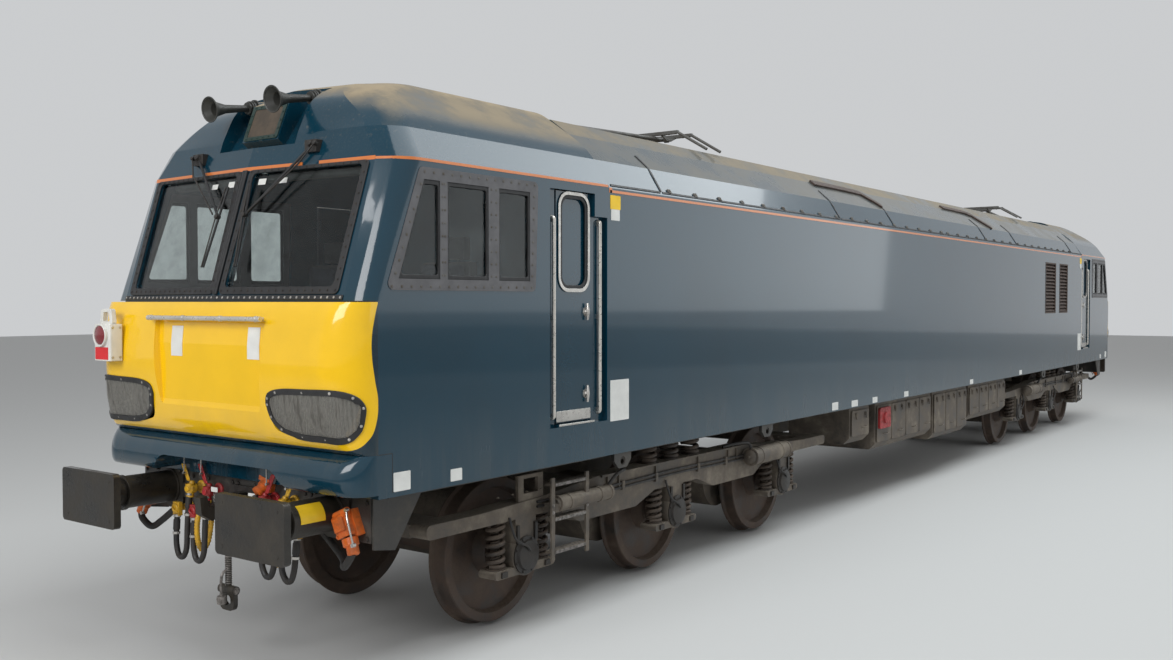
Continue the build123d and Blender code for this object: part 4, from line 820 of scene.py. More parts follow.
def door_seal(bm, side):
    """Rubber seal of the door's window."""
    inner = rounded(rect(8.000, 2.515, 8.280, 3.145), 0.070, 8)
    ring(bm, DOOR_WINDOW, inner, side_place(side, LEAF_OUTER - 0.006), 0.010)


def door_handles(bm, side):
    """The door's two T-handles."""
    place = side_place(side, LEAF_OUTER)
    boss = [(0.0, 0.0), (0.0, 0.034), (0.006, 0.034), (0.008, 0.018), (0.020, 0.014), (0.026, 0.0)]
    thickness = [0.009, 0.010, 0.011, 0.012, 0.013, 0.012, 0.011, 0.010, 0.009]
    for height in (2.320, 1.710):
        lathe(bm, boss, place(7.992, height), (0, side, 0), 18)
        bar = [place(7.992, height + lift, stand) for lift, stand in HANDLE_BAR]
        tube(bm, smooth_path(bar, 4), thickness, 10)


for body, side, far_end in DOORS:
    for name, build, material, slot, bevel in (
        ("rim", door_rim, "bright_steel", "rail_bright", 0.0015),
        ("seal", door_seal, "black_rubber", "black_rubber", 0.002),
        ("handles", door_handles, "bright_steel", "rail_bright", 0.0),
    ):
        bm = bmesh.new()
        build(bm, side)
        if far_end:
            turned(bm)
        piece(f"{body}_{name}", bm, slot, material, body, bevel=bevel)


@on_body("rail_bright", "bright_steel", bevel=0.003)
def door_sills(bm, side):
    """Bright treads under the doors, and the brackets that hold the handrails."""
    block(bm, (7.925, side * 1.288, 1.494), (8.355, side * 1.338, 1.509))
    for x in (8.393, 7.831):
        for z in (1.575, 2.28, 2.982):
            block(bm, (x - 0.012, side * 1.292, z - 0.018), (x + 0.012, side * 1.318, z + 0.018))


# Nose: rail fittings, blank plates, lamp clusters, tail lamp

NOSE_RAIL_X = 10.378
NOSE_RAIL_Z = 2.288
LAMP_EDGE = [
    (0.606, 1.785), (0.640, 1.842), (0.760, 1.870), (1.000, 1.877), (1.190, 1.880),
    (1.285, 1.856), (1.319, 1.800), (1.321, 1.715), (1.304, 1.620), (1.240, 1.564),
    (1.070, 1.562), (0.895, 1.564), (0.733, 1.593), (0.642, 1.659), (0.615, 1.735),
]
LAMP_MIDDLE = Vector((0.975, 1.722))
NOSE = skin_of("nose_1")
LENSES = skin_of("lamp_glass")
LAMP_SKINS = ((NOSE, 0.0), (skin_of("lamp_frames"), -0.010), (LENSES, 0.002))


def nose_skin(y, z, skin=NOSE):
    """The point of the nose's skin straight ahead of a place on the front, and its outward direction."""
    return dropped(skin, (FAR_IN_FRONT, y, z), -AHEAD)


@on_body("rail_bright", sides=False, bevel=0.0015)
def nose_rail_feet(bm):
    """Feet and end caps of the rail across the nose."""
    for y in (-0.56, -0.20, 0.20, 0.56):
        point, normal = nose_skin(y, NOSE_RAIL_Z - 0.002)
        tube(bm, [point - normal * 0.05, (NOSE_RAIL_X, y, NOSE_RAIL_Z)], 0.0085, 10)
        lathe(bm, drum(-0.012, 0.012, 0.0185), (NOSE_RAIL_X, y, NOSE_RAIL_Z), ACROSS, 16)
    for y in (-0.601, 0.585):
        lathe(bm, drum(0.0, 0.016, 0.017), (NOSE_RAIL_X, y, NOSE_RAIL_Z), ACROSS, 16)


# Plates and labels, all left bare: (low, foot, high, head), those of the middle on the near side only
NOSE_LABELS = {1: (0.389, 0.508), -1: (-0.427, -0.303)}
CAB_LABELS = (
    (9.84, 1.250, 9.98, 1.366), (9.38, 1.248, 9.485, 1.326),
    (7.47, 1.477, 7.72, 1.792), (7.597, 3.015, 7.711, 3.100),
)
MIDDLE_LABELS = (
    (3.465, 1.232, 3.62, 1.315), (2.93, 1.230, 3.10, 1.300), (2.36, 1.230, 2.50, 1.295),
    (1.36, 1.230, 1.50, 1.295), (-1.20, 1.230, -1.06, 1.295), (-3.70, 1.230, -3.56, 1.300),
)
BUFFER_Y = 0.864
BUFFER_Z = 1.083


def nose_label(bm, low, high):
    """A label between two places across the nose, laid on its skin."""
    rows = []
    for step in range(11):
        across = [low + (high - low) * share / 4 for share in range(5)]
        skin = [nose_skin(y, 2.035 + 0.020 * step)[0] for y in across]
        front = [point + AHEAD * 0.0030 for point in skin]
        rows.append([point - AHEAD * 0.0015 for point in skin] + front[::-1])
    ribbon(bm, rows)


@on_body("lamp_white", "plate_white")
def blank_plates_white(bm, side):
    """White labels on the nose, the side and the windscreen."""
    nose_label(bm, *NOSE_LABELS[side])
    for label in CAB_LABELS + MIDDLE_LABELS if side > 0 else CAB_LABELS:
        prism(bm, rounded(rect(*label), 0.006, 3), side_place(side), 0.0025)
    prism(bm, rect(0.13, 3.165, 0.20, 3.205), on_screen(side, -0.013)[0], 0.001)


@on_body("lamp_white", "plate_yellow")
def blank_plates_yellow(bm, side):
    """The yellow label behind the door and the yellow plate round each buffer's case."""
    prism(bm, rounded(rect(7.587, 3.100, 7.721, 3.206), 0.006, 3), side_place(side), 0.003)
    plate = []
    for step in range(9):
        angle = math.radians(58 - 62 * step / 8)
        plate.append((0.1135 * math.cos(angle), 0.1135 * math.sin(angle)))
    rows = []
    for x in (10.20, 10.385):
        outer = [(x, side * (BUFFER_Y + 1.025 * y), BUFFER_Z + 1.025 * z) for y, z in plate]
        inner = [(x, side * (BUFFER_Y + y), BUFFER_Z + z) for y, z in reversed(plate)]
        rows.append(outer + inner)
    ribbon(bm, rows)


@on_body("lamp_white", "plate_white")
def screen_labels(bm, side):
    """A second label inside each windscreen."""
    prism(bm, rect(0.33, 3.165, 0.40, 3.20), on_screen(side, -0.013)[0], 0.001)


# Lamp clusters

def over_lamps(side, spot, lift=0.0):
    """A point over a lamp cluster, lifted off the nose's skin as it would run on across the opening."""
    best = Vector((10.15, side * spot.x, spot.y))
    outward = Vector((0.2, side, 0)).normalized()
    start = Vector((FAR_IN_FRONT, side * spot.x, spot.y))
    for skin, level in LAMP_SKINS:
        point, normal = skin.ray_cast(start, -AHEAD)[:2]
        if point is not None and normal.x > 0.05 and (point + normal * level).x > best.x:
            best = point + normal * level
            outward = normal
    return best + outward * lift, outward


def over_row(side, curve, lift):
    """A curve's points over a lamp cluster, all lifted alike."""
    return [over_lamps(side, spot, lift)[0] for spot in curve]


def lamp_curve(side, distance):
    """The smooth edge of a lamp cluster, drawn in by a distance measured along the nose's skin."""
    corners = [Vector((0, u, v)) for u, v in LAMP_EDGE[-2:] + LAMP_EDGE + LAMP_EDGE[:2]]
    curve = [Vector((point.y, point.z)) for point in smooth_path(corners, 6)[12:-7]]
    if not distance:
        return curve
    area = sum(one.x * two.y - two.x * one.y for one, two in zip(curve, curve[1:] + curve[:1]))
    result = []
    for index, spot in enumerate(curve):
        way = (curve[(index + 1) % len(curve)] - curve[index - 1]).normalized()
        inward = Vector((-way.y, way.x)) * math.copysign(1.0, area)
        lean = over_lamps(side, spot)[1].x
        result.append(spot + Vector((inward.x * max(lean, 0.3), inward.y)) * distance)
    return result


def shrunk(curve, share):
    """A curve drawn towards the middle of its lamp cluster."""
    return [LAMP_MIDDLE + (spot - LAMP_MIDDLE) * share for spot in curve]


@on_body("black_rubber", replaces=("lamp_frames",))
def lamp_rims(bm, side):
    """The rubber rim of each lamp cluster."""
    section = ((0.0, -0.004), (0.0, 0.009), (0.004, 0.013), (0.036, 0.013), (0.036, 0.001))
    rows = [over_row(side, lamp_curve(side, distance), lift) for distance, lift in section]
    ribbon(bm, rows, joined=True)


@on_body("black_rubber", "cab_grey")
def lamp_bowls(bm, side):
    """The dark bowl behind each lamp cluster."""
    lip = lamp_curve(side, 0.024)
    hole = shrunk(lip, 0.93)
    section = ((hole, -0.058), (hole, -0.004), (lip, 0.002), (lip, -0.001), (hole, -0.008), (hole, -0.062))
    rows = []
    for curve, lift in section:
        ends = [over_lamps(side, spot) for spot in curve]
        rows.append([point + (normal if lift > -0.01 else AHEAD) * lift for point, normal in ends])
    ribbon(bm, rows)


@on_body("rail_bright", "bright_steel")
def lamp_bolts(bm, side):
    """The bolts of each lamp cluster's rim."""
    for spot in lamp_curve(side, 0.019)[3::7]:
        bolt(bm, *over_lamps(side, spot, 0.0125), 0.006, 0.004)


@on_body("lamp_glass", sharp=70, replaces=("lamp_glass",))
def lamp_lenses(bm, side):
    """One curved lens over each cluster, carried on from the nose's skin."""
    outline = lamp_curve(side, 0.033)
    shares = (0.06, 0.2, 0.35, 0.5, 0.62, 0.74, 0.86, 0.95, 1.0)
    rows = [over_row(side, shrunk(outline, share), 0.008) for share in shares]
    rows += [over_row(side, shrunk(outline, share), 0.004) for share in reversed(shares)]
    ribbon(bm, rows)


# Behind each lens: two lamps and a small marker light, as (y, z, radius, depth)
LAMPS = ((0.775, 1.705, 0.062, 0.052), (0.945, 1.705, 0.062, 0.052), (1.105, 1.725, 0.046, 0.055))


def lamp_mouth(side, y, z):
    """The middle of a reflector's mouth, and the way it looks."""
    point, normal = nose_skin(side * y, z, LENSES)
    return point - normal * 0.022, AHEAD if y < 1.0 else normal


@on_body("rail_bright", "lamp_reflector", sharp=60)
def lamp_reflectors(bm, side):
    """Two reflectors and the marker light's own."""
    for y, z, radius, depth in LAMPS:
        bottom = -depth * 0.62
        profile = [(0.0, radius), (0.0, radius - 0.006)]
        for size in (radius * 0.85, radius * 0.6, radius * 0.3):
            profile.append((bottom * (1 - (size / radius) ** 2), size))
        lathe(bm, profile + [(bottom, 0.0)], *lamp_mouth(side, y, z), 28)


@on_body("lamp_glass", "bulb_glass")
def lamp_bulbs(bm, side):
    """A bulb in each reflector."""
    for y, z, _, depth in LAMPS:
        shape = ((0.55, 0.0), (0.5, 0.012), (0.3, 0.014), (0.15, 0.008), (0.1, 0.0))
        lathe(bm, [(-depth * share, size) for share, size in shape], *lamp_mouth(side, y, z), 16)


# The hung tail lamp, at end 1 only

TAIL_LAMP_Y = -1.030
TAIL_LAMP_FRONT = 10.462
TAIL_LENS_Z = 2.163


def on_tail_lamp(stand):
    """Placing function for the tail lamp's front: u is across, v the height, w stands proud of a level."""
    return lambda u, v, w: Vector((stand + w, TAIL_LAMP_Y + u, v))


@on_body("lamp_white", sides=False, both_ends=False, bevel=0.004, replaces=("tail_lamp",))
def tail_lamp_case(bm):
    """Case, bracket, the lens's hood and the slotted handle."""
    case = rounded(rect(10.362, TAIL_LAMP_Y - 0.1, TAIL_LAMP_FRONT, TAIL_LAMP_Y + 0.1), 0.016)
    prism(bm, case, lambda u, v, w: Vector((u, v, 1.985 + w)), 0.255)
    block(bm, (10.318, TAIL_LAMP_Y - 0.045, 2.035), (10.364, TAIL_LAMP_Y + 0.045, 2.195))
    hood = [(-0.004, 0.0), (-0.004, 0.080), (0.022, 0.080), (0.022, 0.069), (0.010, 0.065), (0.010, 0.0)]
    lathe(bm, hood, (TAIL_LAMP_FRONT, TAIL_LAMP_Y, TAIL_LENS_Z), AHEAD, 32)
    outer = [(-0.080, 2.236), (0.080, 2.236), (0.062, 2.345), (-0.062, 2.345)]
    inner = [(-0.044, 2.258), (0.044, 2.258), (0.034, 2.322), (-0.034, 2.322)]
    ring(bm, rounded(outer, 0.020), rounded(inner, 0.010), on_tail_lamp(10.394), 0.036)


@on_body("lamp_glass", "lens_red", sides=False, both_ends=False, sharp=60)
def tail_lamp_lens(bm):
    """The red lens."""
    dome = [(0.0, 0.0645), (0.007, 0.0640), (0.012, 0.045), (0.015, 0.020), (0.0155, 0.0)]
    lathe(bm, dome, (TAIL_LAMP_FRONT + 0.009, TAIL_LAMP_Y, TAIL_LENS_Z), AHEAD, 32)


@on_body("lamp_white", "panel_red", sides=False, both_ends=False)
def tail_lamp_panel(bm):
    """The red square under the lens."""
    square = rounded(rect(-0.080, 1.995, 0.080, 2.080), 0.004)
    prism(bm, square, on_tail_lamp(TAIL_LAMP_FRONT - 0.0005), 0.003)


@on_body("lamp_white", "bright_steel", both_ends=False)
def tail_lamp_screws(bm, side):
    """Screws in the case's sides."""
    for x in (10.385, 10.440):
        for z in (2.010, 2.215):
            bolt(bm, (x, TAIL_LAMP_Y + side * 0.0995, z), (0, side, 0), 0.006, 0.004)


@on_body("black_rubber")
def valance_seams(bm, side):
    """The joint between the valance and the body's corner, and the yellow moulding's dark gap."""
    for outline in (rect(9.986, 1.246, 9.990, 1.486), rect(9.990, 1.483, 10.102, 1.487)):
        prism(bm, outline, side_place(side), 0.0008)


# Buffers, coupling, cocks, hoses and jumpers

HEADSTOCK = 10.040
THREAD_STEPS = 14 * 12


@on_body("buffer_steel", bevel=0.004)
def buffer_fittings(bm, side):
    """Each buffer's base plate, the collars of its case, its bolts and its face's rivets."""
    centre = Vector((HEADSTOCK, side * BUFFER_Y, BUFFER_Z))
    block(bm, centre + Vector((0.0, -0.165, -0.150)), centre + Vector((0.022, 0.165, 0.150)))
    collar = [(0.375, 0.1115), (0.375, 0.121), (0.395, 0.121), (0.398, 0.112), (0.392, 0.094)]
    lathe(bm, collar, centre, AHEAD, 40)
    lathe(bm, [(0.560, 0.089), (0.575, 0.120), (0.583, 0.125), (0.583, 0.089)], centre, AHEAD, 40)
    for y in (-0.135, 0.135):
        for z in (-0.120, 0.120):
            bolt(bm, centre + Vector((0.022, y, z)), AHEAD, 0.017, 0.016)
    rivet = [(0.0, 0.0), (0.0, 0.012), (0.003, 0.011), (0.003, 0.0)]
    for y in (-0.255, 0.255):
        for z in (-0.13, 0.13):
            lathe(bm, rivet, centre + Vector((0.629, y, z)), AHEAD, 12)


@on_body("buffer_steel", "worn_steel")
def buffer_edges(bm, side):
    """The bright worn edge of each buffer's face."""
    outline = rounded(rect(-0.3195, -0.1805, 0.3195, 0.1805), 0.0275, 6)

    def level(x):
        return lambda u, v, w: Vector((x + w, side * BUFFER_Y + u, BUFFER_Z + v))
    ring(bm, outline, [(u * 0.990, v * 0.982) for u, v in outline], level(10.6675), 0.0015)
    ring(bm, [(u * 1.0012, v * 1.002) for u, v in outline], outline, level(10.6235), 0.0445)


@on_body("buffer_steel", "worn_steel", sides=False)
def coupling_screw(bm):
    """The screw's thread and lever, and nuts on the coupling's pins."""
    x = 10.190
    thread = []
    for step in range(THREAD_STEPS + 1):
        angle = 2 * math.pi * step / 12
        height = 0.735 - 0.205 * step / THREAD_STEPS
        thread.append((x + 0.0205 * math.cos(angle), 0.0205 * math.sin(angle), height))
    tube(bm, thread, 0.0038, 5)
    lever = [(x, 0.0, 0.640), (x + 0.050, 0.004, 0.610), (x + 0.066, 0.010, 0.540), (x + 0.062, 0.012, 0.470)]
    tube(bm, smooth_path(lever, 6), 0.009, 8)
    weight = [(0.0, 0.0), (0.0, 0.030), (0.02, 0.034), (0.05, 0.030), (0.06, 0.0)]
    lathe(bm, weight, lever[-1], DOWN, 16)
    for height, half in ((0.765, 0.081), (0.500, 0.081), (1.060, 0.079)):
        for side in SIDES:
            bolt(bm, (x, side * half, height), (0, side, 0), 0.016, 0.012)


# Brake hoses: (x, distance outwards from the cock, z) from each cock down and up again to its dummy coupling
HOSE_RUN = (
    (10.137, 0.0, 1.105), (10.150, 0.0, 1.000), (10.158, 0.002, 0.860), (10.160, 0.010, 0.710),
    (10.160, 0.040, 0.645), (10.160, 0.075, 0.630), (10.160, 0.110, 0.652), (10.158, 0.134, 0.730),
    (10.150, 0.140, 0.850), (10.142, 0.140, 0.935),
)
HOSES = (0.300, 0.500)


def hose_path(side, y):
    """The path of a brake hose."""
    return smooth_path([(x, side * (y + out), z) for x, out, z in HOSE_RUN], 6)


@on_body("black_rubber", "hose_rubber", replaces=("brake_hoses",))
def brake_hose_rubber(bm, side):
    """The hoses and the thicker sleeves at their ends."""
    for y in HOSES:
        path = hose_path(side, y)
        tube(bm, path, 0.0195, 14)
        for start in (3, len(path) - 9):
            tube(bm, path[start:start + 5], 0.0235, 14)


@on_body("rail_bright", "bright_steel")
def brake_hose_collars(bm, side):
    """Clips round the hoses' sleeves."""
    for y in HOSES:
        path = hose_path(side, y)
        for index in (2, 9, len(path) - 10, len(path) - 3):
            point = path[index]
            lathe(bm, drum(-0.008, 0.008, 0.0262, 0.018), point, path[index + 1] - point, 18)


def cock(bm, side, y, handle):
    """An end cock: flange, barrel, elbow and a flat handle."""
    origin = Vector((HEADSTOCK, side * y, 1.110))
    flange = [(0.0, 0.046), (0.012, 0.046), (0.016, 0.032), (0.050, 0.027), (0.062, 0.036), (0.100, 0.036)]
    lathe(bm, flange + [(0.112, 0.026), (0.128, 0.022), (0.130, 0.0)], origin, AHEAD, 22)
    elbow = [(-0.034, 0.030), (0.0, 0.030), (0.045, 0.026), (0.058, 0.030), (0.070, 0.0)]
    lathe(bm, elbow, origin + AHEAD * 0.097, DOWN, 18)
    spindle = [(0.0, 0.020), (0.044, 0.018), (0.052, 0.012), (0.054, 0.0)]
    lathe(bm, spindle, origin + AHEAD * 0.080, UP, 14)
    reach = Vector((0.085, side * 0.03, 0.058)) + origin
    outline = rounded([(-0.018, -0.010), (0.018, -0.010), (0.022, handle), (-0.022, handle)], 0.008, 3)
    prism(bm, outline, lambda u, v, w: reach + Vector((w, side * (u + v * 0.55), v)), 0.009)


def gladhand(bm, side, y):
    """A dummy coupling on the headstock with the hose's coupling head hung on it."""
    origin = Vector((HEADSTOCK, side * (y + 0.140), 0.960))
    stub = [(0.0, 0.040), (0.010, 0.040), (0.014, 0.024), (0.080, 0.022), (0.090, 0.034), (0.124, 0.034)]
    lathe(bm, stub + [(0.130, 0.026), (0.130, 0.0)], origin, AHEAD, 20)
    block(bm, origin + Vector((0.086, -0.036, -0.050)), origin + Vector((0.118, 0.036, 0.044)))
    lathe(bm, [(0.0, 0.026), (0.040, 0.024), (0.052, 0.0)], origin + AHEAD * 0.102, DOWN, 16)
    hook = [origin + Vector(offset) for offset in ((0.118, -0.03, 0.02), (0.140, 0, 0), (0.118, 0.03, -0.03))]
    tube(bm, smooth_path(hook, 5), 0.008, 8)


@on_body("fitting_orange", "cock_yellow", bevel=0.003, replaces=("hose_fittings",))
def pipe_fittings_yellow(bm, side):
    """The outer pipe's cock and dummy coupling."""
    cock(bm, side, HOSES[1], 0.105)
    gladhand(bm, side, HOSES[1])


@on_body("fitting_orange", "cock_red", bevel=0.003)
def pipe_fittings_red(bm, side):
    """The inner pipe's cock and dummy coupling."""
    cock(bm, side, HOSES[0], 0.120)
    gladhand(bm, side, HOSES[0])


# Jumpers: a large tilted socket beside each buffer and a small one near the hook

SMALL_JUMPER = Matrix.Translation((HEADSTOCK, 0.250, 1.205)) @ Matrix.Rotation(math.radians(-14), 4, "X")


def large_jumper(side):
    """The frame in which a large jumper socket is built."""
    turn = Matrix.Rotation(math.radians(side * 24), 4, "X")
    return Matrix.Translation((HEADSTOCK, side * 1.060, 1.030)) @ turn


def large_socket(bm, frame_at):
    """The body of a large jumper socket, with its nozzles, bolts and hinge."""
    spin = frame_at.to_3x3()
    block(bm, (0.0, -0.070, -0.075), (0.060, 0.070, 0.090), frame_at)
    block(bm, (0.056, -0.060, -0.060), (0.112, 0.060, 0.076), frame_at)
    block(bm, (0.108, -0.048, -0.020), (0.128, 0.048, 0.062), frame_at)
    for lift, radius, reach in ((-0.075, 0.050, 0.050), (-0.120, 0.038, 0.060)):
        nozzle = [(0.0, radius), (reach - 0.008, radius), (reach, radius - 0.008), (reach, 0.0)]
        lathe(bm, nozzle, frame_at @ Vector((0.068, 0, lift)), spin @ Vector((0.10, 0, -1)), 22)
    for u in (-0.052, 0.052):
        for v in (-0.045, 0.062):
            bolt(bm, frame_at @ Vector((0.112, u, v)), spin @ AHEAD, 0.009, 0.008)
    lathe(bm, drum(-0.075, 0.075, 0.020), frame_at @ Vector((0.088, 0, 0.086)), spin @ ACROSS, 16)


@on_body("fitting_orange", sides=False, bevel=0.005)
def jumper_sockets(bm):
    """Orange jumper sockets."""
    for side in SIDES:
        large_socket(bm, large_jumper(side))
    block(bm, (0.0, -0.050, -0.045), (0.034, 0.050, 0.055), SMALL_JUMPER)
    start = SMALL_JUMPER @ Vector((0.0, 0, 0.018))
    direction = SMALL_JUMPER.to_3x3() @ Vector((1, 0, -0.75))
    for low, radius, reach in ((0.025, 0.047, 0.045), (0.066, 0.038, 0.040), (0.100, 0.043, 0.022)):
        lathe(bm, drum(low, low + reach, radius), start, direction, 22)
    block(bm, (0.044, -0.052, 0.020), (0.062, 0.052, 0.050), SMALL_JUMPER)


@on_body("black_rubber", "hose_rubber", sides=False)
def jumper_cables(bm):
    """The sockets' cables, held at both ends."""
    for side in SIDES:
        start = large_jumper(side) @ Vector((0.080, 0, -0.165))
        slack = ((0.0, 0.0, 0.0), (0.004, 0.03, -0.05), (-0.02, 0.10, -0.10), (-0.06, 0.16, -0.06))
        cable = [start + Vector((u, -side * v, w)) for u, v, w in slack]
        cable.append((10.044, side * 0.78, 0.945))
        tube(bm, smooth_path(cable, 8), 0.024, 12)
    feed = [
        SMALL_JUMPER @ Vector((0.110, 0, -0.065)), (10.150, 0.262, 1.050), (10.140, 0.240, 0.920),
        (10.110, 0.190, 0.840), (10.070, 0.140, 0.870), (10.046, 0.118, 0.940),
    ]
    tube(bm, smooth_path(feed, 6), 0.019, 12)


@on_body("rail_bright", "bright_steel")
def jumper_levers(bm, side):
    """The large sockets' bright levers."""
    bends = ((0.100, 0.078, 0.086), (0.118, 0.082, 0.02), (0.124, 0.080, -0.08), (0.120, 0.072, -0.13))
    lever = [large_jumper(side) @ Vector(point) for point in bends]
    tube(bm, smooth_path(lever, 5), 0.0065, 8)
    lathe(bm, drum(-0.012, 0.012, 0.013), lever[3], AHEAD, 12)
    lathe(bm, drum(-0.012, 0.012, 0.011), lever[0], AHEAD, 12)


@on_body("fitting_orange", "cock_yellow", sharp=60)
def ribbed_hoses(bm, side):
    """Corrugated hoses cut into even steps, with every other ring drawn in."""
    run = [
        (10.044, side * 0.405, 1.020), (10.110, side * 0.405, 0.985), (10.148, side * 0.400, 0.900),
        (10.150, side * 0.398, 0.780), (10.120, side * 0.395, 0.700), (10.075, side * 0.392, 0.740),
        (10.050, side * 0.390, 0.860), (10.044, side * 0.388, 0.950),
    ]
    fine = smooth_path(run, 24)
    path = [fine[0]]
    walked = 0.0
    for one, two in zip(fine, fine[1:]):
        walked += (two - one).length
        if walked >= 0.0085:
            path.append(two)
            walked = 0.0
    tube(bm, path, [0.0205 if index % 2 else 0.0205 * 0.80 for index in range(len(path))], 12)


@on_body("rail_bright", "bright_steel")
def handle_rods(bm, side):
    """Thin bright rods from the valance's edge down to the cocks' handles."""
    for y, foot in ((0.545, 1.215), (0.350, 1.225)):
        end = (10.152, side * (y + 0.004), foot)
        tube(bm, [(10.150, side * y, 1.330), end], 0.0045, 8)
        lathe(bm, drum(-0.008, 0.008, 0.009), end, AHEAD, 10)


@on_body("buffer_steel", "dark_iron", sides=False, bevel=0.003)
def headstock_bolts(bm):
    """Bolts, brackets and the draw gear's plate on the headstock."""
    for side in SIDES:
        for y in (0.09, 0.15, 0.42, 0.60, 0.66, 1.02, 1.17):
            for z in (0.955, 1.175):
                bolt(bm, (HEADSTOCK, side * y, z), AHEAD, 0.013, 0.011)
        block(bm, (HEADSTOCK, side * 0.68 - 0.030, 1.02), (10.058, side * 0.68 + 0.030, 1.12))
    block(bm, (HEADSTOCK, -0.110, 0.965), (10.062, 0.110, 1.165))


@on_body("lamp_white", "plate_white")
def headstock_tags(bm, side):
    """White tags beside the hook."""
    outline = rounded(rect(0.165, 1.118, 0.235, 1.150), 0.006, 3)
    prism(bm, outline, lambda u, v, w: Vector((10.150 + w, side * u, v)), 0.004)


@on_body("rail_bright", "bright_steel")
def tag_chains(bm, side):
    """Chains of seven links under the tags."""
    for step in range(7):
        centre = Vector((10.151, side * 0.200, 1.118 - 0.011 - step * 0.021))
        loop = []
        for turn in range(9):
            angle = 2 * math.pi * turn / 8
            wide = 0.006 * math.cos(angle)
            offset = (0.0, wide) if step % 2 else (wide, 0.0)
            loop.append(centre + Vector((*offset, 0.013 * math.sin(angle))))
        tube(bm, loop, 0.0022, 5, closed_ends=False)


# Roof: strips laid on the skin, seams, horn collars, the panel between the horns

ROOF = skin_of("roof_hatch_1", "roof_hatch_2", "roof_hatch_3", "cab_roof_1", "cab_roof_2")
BESIDE = 2.2
CABLE_RUNS = (
    ((3.36, 3.690), (2.6, 3.686), (2.1, 3.675), (1.92, 3.60), (1.80, 3.530)),
    ((-1.0, 3.72), (-1.9, 3.71), (-2.15, 3.68), (-2.32, 3.59), (-2.50, 3.50)),
)


def laid_strip(bm, side, path, steps, half_width, stand):
    """A strip laid on the roof's slope: rays from beside a path (x, z), cut into steps, find its middle."""
    starts = []
    for one, two in zip(path, path[1:]):
        for share in (step / steps for step in range(steps)):
            spot = (one[0] + (two[0] - one[0]) * share, one[1] + (two[1] - one[1]) * share)
            starts.append((spot[0], side * BESIDE, spot[1]))
    starts.append((path[-1][0], side * BESIDE, path[-1][1]))
    marks = [dropped(ROOF, start, (0, -side, 0)) for start in starts]
    rows = []
    for (point, normal), way in zip(marks, ways_along([point for point, normal in marks])):
        across = way.cross(normal).normalized() * half_width
        low = point - normal * 0.004
        high = point + normal * stand
        rows.append([low - across, low + across, high + across, high - across])
    ribbon(bm, rows)


@on_body("louvre_brown", sides=False, bevel=0.004)
def roof_cable_covers(bm):
    """Dark brown cable covers on the roof's slopes."""
    for run in CABLE_RUNS:
        laid_strip(bm, 1, run, 6, 0.040, 0.022)


@on_body("black_rubber", sides=False)
def roof_seams(bm):
    """Seams down the slopes where the roof's sections meet, with a raised seal on each."""
    for x in (6.98, 3.40, 1.81):
        for side in SIDES:
            laid_strip(bm, side, [(x, 3.29), (x, 3.44), (x, 3.60)], 3, 0.011, 0.006)


@on_body("black_rubber")
def roof_foot_seals(bm, side):
    """Seals along the foot of each roof section."""
    for start, end in ((7.70, 7.00), (6.96, 3.42), (3.38, 0.01)):
        count = max(2, round((start - end) / 0.45))
        foot = [(start + (end - start) * step / count, 3.282) for step in range(count + 1)]
        laid_strip(bm, side, foot, 1, 0.009, 0.005)


@on_body("roof_steel", bevel=0.002)
def roof_catches(bm, side):
    """Small pale catches that hold the roof sections down, over the dark seal at their foot."""
    for step in range(17):
        point, normal = dropped(ROOF, (6.85 - 0.42 * step, side * BESIDE, 3.300), (0, -side, 0))
        spin = Matrix((AHEAD, normal, normal.cross(AHEAD) * side)).transposed().to_4x4()
        block(bm, (-0.022, -0.004, -0.018), (0.022, 0.012, 0.018), Matrix.Translation(point) @ spin)
        bolt(bm, point + normal * 0.012, normal, 0.008, 0.006)


@on_body("roof_steel")
def roof_bolts(bm, side):
    """Rows of bolts along the edges of the raised hatches."""
    for step in range(36):
        point, normal = dropped(ROOF, (7.55 - 0.21 * step, side * 0.66, 5.0), DOWN)
        bolt(bm, point - normal * 0.001, normal, 0.011, 0.008)


# Flanges of a horn: (distance along it, radius, width)
HORN_FLANGES = ((-0.016, 0.058, 0.014), (0.010, 0.050, 0.012), (0.030, 0.050, 0.010), (0.048, 0.043, 0.010))


@on_body("horn_dark", bevel=0.0015)
def horn_collars(bm, side):
    """Flanged collars at the back of each trumpet, its rim and its air pipe."""
    axis = Vector((0.358, 0, -0.058)).normalized()
    throat = Vector((9.709, side * 0.334, 3.756))
    for start, radius, width in HORN_FLANGES:
        lathe(bm, drum(start, start + width, radius, 0.020), throat, axis, 28)
    lathe(bm, [(0.3585, 0.083), (0.3655, 0.0885), (0.3705, 0.086), (0.3660, 0.0775)], throat, axis, 40)
    for spot in circle(throat - axis * 0.016, ACROSS, axis.cross(ACROSS), 0.047, 6):
        bolt(bm, spot, -axis, 0.006, 0.005)
    bends = ((0, 0, -0.085), (-0.02, -side * 0.05, -0.11), (-0.03, -side * 0.135, -0.10))
    pipe = [throat - axis * 0.010 + Vector((0, 0, -0.03))] + [throat + Vector(bend) for bend in bends]
    tube(bm, smooth_path(pipe, 6), 0.011, 10)


# The brown panel on the housing between the horns

PANEL_FOOT = Vector((9.915, 0, 3.475))
PANEL_RISE = Vector((9.815, 0, 3.735)) - PANEL_FOOT
PANEL_TALL = PANEL_RISE.length
PANEL_UP = PANEL_RISE.normalized()
PANEL_OUT = Vector((PANEL_UP.z, 0, -PANEL_UP.x))
PANEL_INNER = rounded(rect(-0.148, 0.034, 0.148, PANEL_TALL - 0.034), 0.012)


def on_panel(u, v, w):
    """A point over the panel: u across, v up, w stands proud."""
    return PANEL_FOOT + Vector((0, u, 0)) + PANEL_UP * v + PANEL_OUT * w


